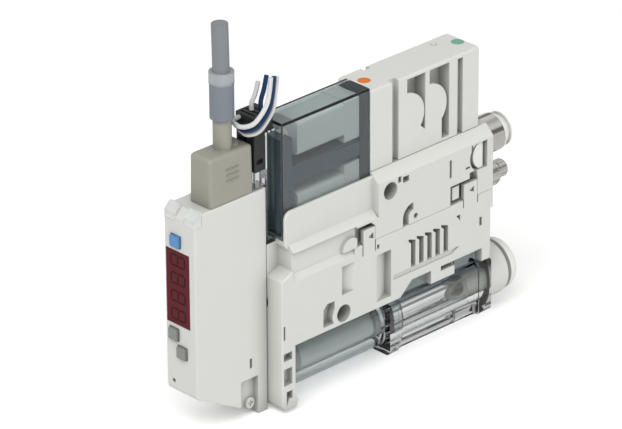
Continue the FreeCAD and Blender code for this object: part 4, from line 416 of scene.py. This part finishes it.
# %% Turned metal group
def turned_metal():
    group, given, wanted = new_group(
        "turned_metal",
        [("Colour", "NodeSocketColor", (0.6, 0.6, 0.6, 1)),
         ("Centre", "NodeSocketVector", (0.0, 0.0, 0.0)),
         ("Rings", "NodeSocketFloat", 9000.0),
         ("Roughness", "NodeSocketFloat", 0.2)],
        [("Colour", "NodeSocketColor"), ("Roughness", "NodeSocketFloat"),
         ("Height", "NodeSocketFloat")])
    coords = add(group, "ShaderNodeTexCoord", (-1200, -300))
    placed = add(group, "ShaderNodeVectorMath", (-1000, -200), operation="SUBTRACT")
    across = add(group, "ShaderNodeSeparateXYZ", (-800, -200))
    flat = add(group, "ShaderNodeCombineXYZ", (-600, -100))
    reach = add(group, "ShaderNodeVectorMath", (-400, -100), operation="LENGTH")
    along = add(group, "ShaderNodeCombineXYZ", (-200, -200))
    rings = add(group, "ShaderNodeTexNoise", (0, -200), noise_dimensions="3D", Scale=1.0,
                Detail=2.0)
    scaled = add(group, "ShaderNodeVectorMath", (-100, -350), operation="SCALE")
    spread = add(group, "ShaderNodeMath", (250, -100), operation="MULTIPLY_ADD")
    spread.inputs[1].default_value = 0.25
    lower = add(group, "ShaderNodeMath", (450, -100), operation="SUBTRACT", use_clamp=True)
    lower.inputs[1].default_value = 0.12
    smudge = add(group, "ShaderNodeTexNoise", (0, 200), Scale=220.0, Detail=4.0)
    tone = add(group, "ShaderNodeMapRange", (250, 200))
    tone.inputs["To Min"].default_value = 0.85
    tone.inputs["To Max"].default_value = 1.08
    tint = add(group, "ShaderNodeVectorMath", (500, 200), operation="SCALE")
    join(group,
         (coords.outputs["Object"], placed.inputs[0]), (given["Centre"], placed.inputs[1]),
         (placed.outputs[0], across.inputs[0]),
         (across.outputs["Y"], flat.inputs["Y"]), (across.outputs["Z"], flat.inputs["Z"]),
         (flat.outputs[0], reach.inputs[0]),
         (reach.outputs["Value"], along.inputs["Y"]), (across.outputs["X"], along.inputs["X"]),
         (along.outputs[0], scaled.inputs[0]), (given["Rings"], scaled.inputs["Scale"]),
         (scaled.outputs[0], rings.inputs["Vector"]),
         (rings.outputs["Fac"], spread.inputs[0]), (given["Roughness"], spread.inputs[2]),
         (spread.outputs[0], lower.inputs[0]), (lower.outputs[0], wanted["Roughness"]),
         (rings.outputs["Fac"], wanted["Height"]),
         (coords.outputs["Object"], smudge.inputs["Vector"]),
         (smudge.outputs["Fac"], tone.inputs["Value"]),
         (given["Colour"], tint.inputs[0]), (tone.outputs["Result"], tint.inputs["Scale"]),
         (tint.outputs[0], wanted["Colour"]))
    return group


TURNED = turned_metal()
print("group", TURNED.name)

# %% Height band group
def height_band():
    group, given, wanted = new_group(
        "height_band",
        [("Colour", "NodeSocketColor", (0.8, 0.8, 0.8, 1)),
         ("Upper", "NodeSocketColor", (0.2, 0.2, 0.2, 1)),
         ("From", "NodeSocketFloat", 0.0), ("To", "NodeSocketFloat", 0.001)],
        [("Colour", "NodeSocketColor")])
    coords = add(group, "ShaderNodeTexCoord", (-1000, -200))
    axes = add(group, "ShaderNodeSeparateXYZ", (-800, -200))
    share = add(group, "ShaderNodeMapRange", (-500, -100), clamp=True)
    # Where this group is used, the colour above the height is painted shade.
    blend = add(group, "ShaderNodeMix", (0, 100), data_type="RGBA")
    join(group,
         (coords.outputs["Object"], axes.inputs[0]), (axes.outputs["Z"], share.inputs["Value"]),
         (given["From"], share.inputs["From Min"]), (given["To"], share.inputs["From Max"]),
         (share.outputs["Result"], blend.inputs["Factor"]),
         (given["Colour"], blend.inputs["A"]), (given["Upper"], blend.inputs["B"]),
         (blend.outputs["Result"], wanted["Colour"]))
    return group


BANDED = height_band()
print("group", BANDED.name)

# %% [markdown]
# ## Resins
# Most pieces are injection-moulded resin.  They differ in colour, gloss and the light or shade
# painted on their edges, so one recipe takes those as numbers: the skin group gives the colour and
# grain and paints shade into hollows, the edge group paints a highlight (on the keys, shade) into
# the corners and rounds the light, and a Bump node lays the grain over that rounded normal.

# %% Resin recipe
GRAIN_DEPTH = 0.00002


def use_group(tree, group, place, **values):
    made = tree.nodes.new("ShaderNodeGroup")
    made.node_tree = group
    made.location = place
    for key, value in values.items():
        made.inputs[key.replace("_", " ")].default_value = value
    return made


def resin(name, colour, roughness, drift=0.03, painted_edge_colour=None, radius=0.25, bump=0.25,
          specular=0.5, painted_corner_shade=0.0):
    """Opaque moulded resin; painted_edge_colour: edge highlight painted on (shade on keys); radius
    in mm.
    """
    material = new_material(name)
    tree = material.node_tree
    out = add(tree, "ShaderNodeOutputMaterial", (900, 0))
    shader = add(tree, "ShaderNodeBsdfPrincipled", (600, 0))
    shader.inputs["Specular IOR Level"].default_value = specular
    # The Shade input paints shade into the colour of hollows and corners.
    skin = use_group(tree, MOULDED, (-400, 0), Colour=(*colour, 1), Drift=drift,
                     Roughness=roughness, Shade=painted_corner_shade)
    rim = use_group(tree, EDGE_PAINTED_LIGHT, (-100, 100), Amount=0.6 if painted_edge_colour else 0.0,
                    Edge_Colour=(*(painted_edge_colour or colour), 1), Radius=radius * MM)
    grain = add(tree, "ShaderNodeBump", (300, -200), Strength=bump, Distance=GRAIN_DEPTH)
    join(tree,
         (skin.outputs["Colour"], rim.inputs["Colour"]),
         (rim.outputs["Colour"], shader.inputs["Base Color"]),
         (skin.outputs["Roughness"], shader.inputs["Roughness"]),
         (skin.outputs["Height"], grain.inputs["Height"]),
         (rim.outputs["Normal"], grain.inputs["Normal"]),
         (grain.outputs["Normal"], shader.inputs["Normal"]),
         (shader.outputs["BSDF"], out.inputs["Surface"]))
    return material


# Each shade amount is shade painted into the resin's hollows and corners.
FINISH = {
    # Paler edge colours are painted highlights on the edges.
    "white_resin": resin("white_resin", (0.745, 0.755, 0.72), 0.42, painted_edge_colour=(0.86, 0.86, 0.83),
                         painted_corner_shade=0.60),
    "valve_resin": resin("valve_resin", (0.76, 0.77, 0.735), 0.40, painted_edge_colour=(0.87, 0.87, 0.84),
                         painted_corner_shade=0.55),
    "dark_resin": resin("dark_resin", (0.014, 0.021, 0.027), 0.5, drift=0.2,
                        painted_edge_colour=(0.06, 0.075, 0.085)),
    "coil_resin": resin("coil_resin", (0.64, 0.66, 0.63), 0.55, drift=0.1, painted_corner_shade=0.3),
    "cream_resin": resin("cream_resin", (0.90, 0.90, 0.87), 0.42, painted_corner_shade=0.5),
    "plug_black": resin("plug_black", (0.012, 0.013, 0.015), 0.42, drift=0.2,
                        painted_edge_colour=(0.05, 0.055, 0.06)),
    "wire_white": resin("wire_white", (0.74, 0.75, 0.74), 0.35, radius=0.05),
    "wire_navy": resin("wire_navy", (0.010, 0.040, 0.11), 0.32, radius=0.05, specular=0.3),
    # The keys' darker edge colours are painted shade round their edges.
    "key_blue": resin("key_blue", (0.10, 0.30, 0.62), 0.38, painted_edge_colour=(0.02, 0.07, 0.20), radius=0.4,
                      painted_corner_shade=0.6),
    "key_grey": resin("key_grey", (0.27, 0.28, 0.27), 0.45, painted_edge_colour=(0.07, 0.07, 0.07), radius=0.4,
                      painted_corner_shade=0.6),
    "board_green": resin("board_green", (0.02, 0.15, 0.07), 0.35, drift=0.2),
    "boot_grey": resin("boot_grey", (0.36, 0.355, 0.30), 0.55, drift=0.06,
                       painted_edge_colour=(0.44, 0.435, 0.37), radius=0.35, bump=0.4,
                       painted_corner_shade=0.5),
    "sleeve_grey": resin("sleeve_grey", (0.215, 0.235, 0.275), 0.5, drift=0.1, radius=0.15),
    "cable_sheath": resin("cable_sheath", (0.235, 0.255, 0.268), 0.5, drift=0.06, radius=0.1),
    "seal_black": resin("seal_black", (0.010, 0.010, 0.011), 0.55, drift=0.2),
    "filter_white": resin("filter_white", (0.74, 0.75, 0.74), 0.8, drift=0.08, bump=1.0),
    "override_orange": resin("override_orange", (0.84, 0.20, 0.010), 0.4, specular=0.2),
    "override_green": resin("override_green", (0.17, 0.45, 0.33), 0.35),
}
print("resins", len(FINISH))

# %% [markdown]
# ## Clear resins
# The pilot cover and the filter cases are smoked see-through resin, and the light guides are
# milky.  Thin glass shaders are one way, but a wall with two faces bends light as the real one
# does, which draws the bright and dark lines at its edges.  Lamps can't shine through glass
# shaders, so for shadow rays alone a Transparent shader takes their place.

# %% Clear recipe
CLEAR_IOR = 1.49
CLEAR_GRAIN = 300.0
CLEAR_BUMP = 0.1


def clear_resin(name, tint, roughness, shadow, transmission=1.0, painted_top_shade=None, specular=0.5):
    """See-through resin; painted_top_shade is (colour, from height, to height) of painted shade on
    top.
    """
    material = new_material(name)
    tree = material.node_tree
    out = add(tree, "ShaderNodeOutputMaterial", (1100, 0))
    shader = add(tree, "ShaderNodeBsdfPrincipled", (500, 0), IOR=CLEAR_IOR)
    shader.inputs["Specular IOR Level"].default_value = specular
    shader.inputs["Transmission Weight"].default_value = transmission
    skin = use_group(tree, MOULDED, (-400, 0), Colour=(*tint, 1), Drift=0.06,
                     Roughness=roughness, Gloss_Drift=0.02, Grain=CLEAR_GRAIN)
    tinted = skin.outputs["Colour"]
    if painted_top_shade:
        band = use_group(tree, BANDED, (0, 200), Upper=(*painted_top_shade[0], 1), From=painted_top_shade[1] * MM,
                         To=painted_top_shade[2] * MM)
        join(tree, (tinted, band.inputs["Colour"]))
        tinted = band.outputs["Colour"]
    grain = add(tree, "ShaderNodeBump", (200, -200), Strength=CLEAR_BUMP, Distance=GRAIN_DEPTH)
    lamp_way = add(tree, "ShaderNodeBsdfTransparent", (500, -400))
    lamp_way.inputs["Color"].default_value = (*shadow, 1)
    path = add(tree, "ShaderNodeLightPath", (500, 400))
    pick = add(tree, "ShaderNodeMixShader", (850, 0))
    join(tree,
         (tinted, shader.inputs["Base Color"]),
         (skin.outputs["Roughness"], shader.inputs["Roughness"]),
         (skin.outputs["Height"], grain.inputs["Height"]),
         (grain.outputs["Normal"], shader.inputs["Normal"]),
         (path.outputs["Is Shadow Ray"], pick.inputs["Fac"]),
         (shader.outputs["BSDF"], pick.inputs[1]), (lamp_way.outputs["BSDF"], pick.inputs[2]),
         (pick.outputs["Shader"], out.inputs["Surface"]))
    return material


# Painted shade: each filter case's top turns near black above these heights, where it sits in the
# shadow under the housing's edge.
BAND_HEIGHTS = (-4.9, -4.5)
CASE_TOP_PAINTED_SHADE = (0.10, 0.13, 0.15)
CASE_TOP_SHADE_BAND = (CASE_TOP_PAINTED_SHADE, *BAND_HEIGHTS)
FINISH["smoked_clear"] = clear_resin("smoked_clear", (0.82, 0.88, 0.89), 0.02, (0.80, 0.84, 0.85),
                                     specular=0.3)
FINISH["smoked_case"] = clear_resin("smoked_case", (0.74, 0.79, 0.80), 0.02, (0.75, 0.79, 0.80),
                                    painted_top_shade=CASE_TOP_SHADE_BAND, specular=0.4)
FINISH["light_guide"] = clear_resin("light_guide", (0.86, 0.88, 0.87), 0.4, (0.8, 0.8, 0.8),
                                    transmission=0.4)
FINISH["sleeve_clear"] = clear_resin("sleeve_clear", (0.75, 0.78, 0.80), 0.3, (0.8, 0.8, 0.8),
                                     transmission=0.7)
FINISH["display_red"] = resin("display_red", (0.125, 0.012, 0.018), 0.25, drift=0.15,
                              specular=0.12)
REAR_CASE = clear_resin("smoked_case_rear", (0.98, 0.99, 0.99), 0.02, (0.93, 0.95, 0.95),
                        painted_top_shade=CASE_TOP_SHADE_BAND, specular=0.4)
CARRIER = resin("carrier_blue_grey", (0.045, 0.064, 0.078), 0.5, drift=0.15)
CELL_RED = resin("display_cell", (0.040, 0.004, 0.006), 0.25, specular=0.12)
print("finishes", len(FINISH))

# %% [markdown]
# ## Metals
# The port fitting, the nut and the knob are nickel-plated brass, the needle's bush is bare
# brass.  All came off a lathe, so their gloss changes in fine rings round their own axis.

# %% Metal recipe
TURNING_RINGS = 9000.0
METAL_BUMP = 0.15


def metal(name, colour, roughness, centre=(0, 0, 0)):
    material = new_material(name)
    tree = material.node_tree
    out = add(tree, "ShaderNodeOutputMaterial", (900, 0))
    shader = add(tree, "ShaderNodeBsdfPrincipled", (600, 0), Metallic=1.0)
    skin = use_group(tree, TURNED, (-400, 0), Colour=(*colour, 1), Roughness=roughness,
                     Centre=centre, Rings=TURNING_RINGS)
    # The pale edge colour is a painted highlight on the metal's edges.
    rim = use_group(tree, EDGE_PAINTED_LIGHT, (-100, 100), Amount=0.4, Edge_Colour=(0.9, 0.9, 0.88, 1),
                    Radius=0.12 * MM)
    grain = add(tree, "ShaderNodeBump", (300, -200), Strength=METAL_BUMP, Distance=GRAIN_DEPTH)
    join(tree,
         (skin.outputs["Colour"], rim.inputs["Colour"]),
         (rim.outputs["Colour"], shader.inputs["Base Color"]),
         (skin.outputs["Roughness"], shader.inputs["Roughness"]),
         (skin.outputs["Height"], grain.inputs["Height"]),
         (rim.outputs["Normal"], grain.inputs["Normal"]),
         (grain.outputs["Normal"], shader.inputs["Normal"]),
         (shader.outputs["BSDF"], out.inputs["Surface"]))
    return material


NEEDLE_AXIS = (0.0, 0.0, 0.0144)
SUPPLY_AXIS = (0.0, 0.0, 0.0248)
FINISH["nickel_brass"] = metal("nickel_brass", (0.60, 0.58, 0.55), 0.12, SUPPLY_AXIS)
FINISH["brass"] = metal("brass", (0.66, 0.47, 0.20), 0.25, NEEDLE_AXIS)
FINISH["steel_zinc"] = metal("steel_zinc", (0.78, 0.78, 0.76), 0.2)
FINISH["spool_metal"] = metal("spool_metal", (0.62, 0.63, 0.65), 0.22)
print("finishes", len(FINISH))

# %% [markdown]
# ## Dress the solids
# The record names a finish for every solid.  Reading it keeps the two in step: each node of the
# frame only has its material slots filled, and its mesh stays as the CAD made it.

# %% Assign the finishes
def paint(piece, material):
    piece.data.materials.clear()
    piece.data.materials.append(material)


for part in frame["record"]["subparts"]:
    paint(frame["nodes"][part["node"]], FINISH[part["material_slot"]])
paint(frame["nodes"]["port_case"], REAR_CASE)
paint(frame["nodes"]["pilot_frame"], CARRIER)
paint(cable, FINISH["cable_sheath"])

# %% [markdown]
# ## Small repeated details
# The knurls of the nut and the knob, and the unlit cells of the display, are one small shape
# repeated.  Copying it by hand would do, but one node tree that sets copies along a step or
# about an axis serves all three, and changing one number changes the whole set.

# %% Tree that repeats a shape
def repeat_tree():
    tree = bpy.data.node_groups.new("repeat_shape", "GeometryNodeTree")
    sockets = {}
    for label, kind in (("Shape", "Geometry"), ("Count", "Int"), ("Start", "Vector"),
                        ("Step", "Vector"), ("Turn", "Float"), ("Finish", "Material")):
        made = tree.interface.new_socket(label, in_out="INPUT", socket_type="NodeSocket" + kind)
        sockets[label] = made.identifier
    tree.interface.new_socket("Shape", in_out="OUTPUT", socket_type="NodeSocketGeometry")
    given = tree.nodes.new("NodeGroupInput").outputs
    wanted = tree.nodes.new("NodeGroupOutput").inputs
    number = tree.nodes.new("GeometryNodeInputIndex")
    shift = add(tree, "ShaderNodeVectorMath", operation="SCALE")
    place = add(tree, "ShaderNodeVectorMath", operation="ADD")
    turn = add(tree, "ShaderNodeMath", operation="MULTIPLY")
    angles = tree.nodes.new("ShaderNodeCombineXYZ")
    spots = tree.nodes.new("GeometryNodePoints")
    copies = tree.nodes.new("GeometryNodeInstanceOnPoints")
    solid = tree.nodes.new("GeometryNodeRealizeInstances")
    finish = tree.nodes.new("GeometryNodeSetMaterial")
    join(tree,
         (given["Step"], shift.inputs[0]), (number.outputs[0], shift.inputs["Scale"]),
         (given["Start"], place.inputs[0]), (shift.outputs[0], place.inputs[1]),
         (number.outputs[0], turn.inputs[0]), (given["Turn"], turn.inputs[1]),
         (turn.outputs[0], angles.inputs["X"]),
         (given["Count"], spots.inputs["Count"]), (place.outputs[0], spots.inputs["Position"]),
         (spots.outputs[0], copies.inputs["Points"]), (given["Shape"], copies.inputs["Instance"]),
         (angles.outputs[0], copies.inputs["Rotation"]),
         (copies.outputs[0], solid.inputs[0]), (solid.outputs[0], finish.inputs["Geometry"]),
         (given["Finish"], finish.inputs["Material"]), (finish.outputs[0], wanted[0]))
    return tree, sockets


REPEAT, REPEAT_SOCKETS = repeat_tree()
print("inputs of the tree", list(REPEAT_SOCKETS))


def prism(outline, low, high, axis):
    """Vertices and faces of an outline in mm drawn out along x (0) or y (1)."""
    count = len(outline)
    rows = []
    for depth in (low, high):
        for a, b in outline:
            rows.append((depth, a, b) if axis == 0 else (a, depth, b))
    faces = [tuple(range(count)), tuple(range(2 * count - 1, count - 1, -1))]
    faces += [(i, i + count, (i + 1) % count + count, (i + 1) % count) for i in range(count)]
    return rows, faces


def mesh_of(name, prisms):
    points, faces = [], []
    for rows, sides in prisms:
        faces += [tuple(i + len(points) for i in side) for side in sides]
        points += [(x * MM, y * MM, z * MM) for x, y, z in rows]
    mesh = bpy.data.meshes.new(name)
    mesh.from_pydata(points, [], faces)
    work = bmesh.new()
    work.from_mesh(mesh)
    bmesh.ops.recalc_face_normals(work, faces=work.faces)
    work.to_mesh(mesh)
    work.free()
    return mesh


def place_piece(name, mesh, material, node):
    """A finished piece that rides on the body of a CAD node."""
    piece = bpy.data.objects.new(name, mesh)
    bpy.context.scene.collection.objects.link(piece)
    paint(piece, material)
    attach(piece, body_of(frame["nodes"][node])[0])
    return piece


def repeated(name, mesh, material, node, slot, **values):
    """Copies of a mesh set by the tree, baked into one plain mesh on one body."""
    seed = bpy.data.objects.new(name + "_seed", mesh)
    bpy.context.scene.collection.objects.link(seed)
    maker = seed.modifiers.new("repeat", "NODES")
    maker.node_group = REPEAT
    for label, value in {**values, "Finish": material}.items():
        maker[REPEAT_SOCKETS[label]] = value
    seed.update_tag()
    graph = bpy.context.evaluated_depsgraph_get()
    baked = bpy.data.meshes.new_from_object(seed.evaluated_get(graph))
    bpy.data.objects.remove(seed)
    piece = place_piece(name, baked, material, node)
    print(name, "faces", len(baked.polygons))
    return piece


# %% Knurls and display cells
def ridge(radius, rise, half, front, back):
    """One knurl ridge beside the axis, pointed outwards."""
    return mesh_of("ridge", [prism([(radius - rise, -half), (radius + rise, 0.0),
                                    (radius - rise, half)], front, back, 0)])


CELL_GAP = 1.3
CELL_POINT = 0.9


def digit_cells(tall, wide, stroke, front, back):
    """Seven flat cells of a digit that lies on its side."""
    cells = []
    half = stroke / 2
    gap, point = half * CELL_GAP, half * CELL_POINT
    for y in (-tall / 2, 0.0, tall / 2):
        run = wide / 2 - gap
        cells.append(prism([(y, -run - point), (y + half, -run), (y + half, run),
                            (y, run + point), (y - half, run), (y - half, -run)],
                           front, back, 0))
    for z in (-wide / 2, wide / 2):
        for low in (-tall / 2, 0.0):
            start, end = low + gap, low + tall / 2 - gap
            cells.append(prism([(start - point, z), (start, z - half), (end, z - half),
                                (end + point, z), (end, z + half), (start, z + half)],
                               front, back, 0))
    return mesh_of("cells", cells)


KNURL_MARGIN = 0.35
KNURL_FILL = 0.8
KNOB_GRIP = 2.8
KNURLS = [("nut_knurl", "needle_lock_nut", 3.2, 0.13, 36),
          ("knob_knurl", "release_needle", 2.1, 0.11, 26)]
for name, node, radius, rise, count in KNURLS:
    low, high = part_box(node)
    end = high[0] / MM
    start = low[0] / MM if node == "needle_lock_nut" else end - KNOB_GRIP
    half = math.pi * radius / count * KNURL_FILL
    shape = ridge(radius, rise, half, start + KNURL_MARGIN, end - KNURL_MARGIN)
    repeated(name, shape, FINISH["nickel_brass"], node, "nickel_brass",
             Count=count, Start=NEEDLE_AXIS, Step=(0.0, 0.0, 0.0), Turn=2 * math.pi / count)

CELL_FRONT, CELL_BACK = -41.47, -41.44
CELL_TALL, CELL_WIDE, CELL_STROKE = 4.5, 2.6, 0.5
DIGITS, DIGIT_START, DIGIT_STEP = 4, (0.0, 0.0028, 0.0107), (0.0, 0.0, 0.0045)
repeated("display_cells", digit_cells(CELL_TALL, CELL_WIDE, CELL_STROKE, CELL_FRONT, CELL_BACK),
         CELL_RED, "switch_display", "display_red",
         Count=DIGITS, Start=DIGIT_START, Step=DIGIT_STEP, Turn=0.0)

# %% [markdown]
# ## Grip ribs of the boot
# Three short ribs stand on the near side of the boot.  They could be set by the tree too, but
# three bars are as quick to state by their heights.

# %% Ribs
RIB_HEIGHTS = (42.4, 43.75, 45.1)
RIB_FRONT, RIB_BACK, RIB_TALL = -31.4, -27.7, 0.18
RIB_OUTER, RIB_INNER = -2.84, -2.5
bars = [prism([(RIB_FRONT, z), (RIB_BACK, z), (RIB_BACK, z + RIB_TALL), (RIB_FRONT, z + RIB_TALL)],
              RIB_OUTER, RIB_INNER, 1) for z in RIB_HEIGHTS]
ribs = mesh_of("boot_ribs", bars)
place_piece("boot_ribs", ribs, FINISH["boot_grey"], "connector_boot")
print("ribs", len(bars))
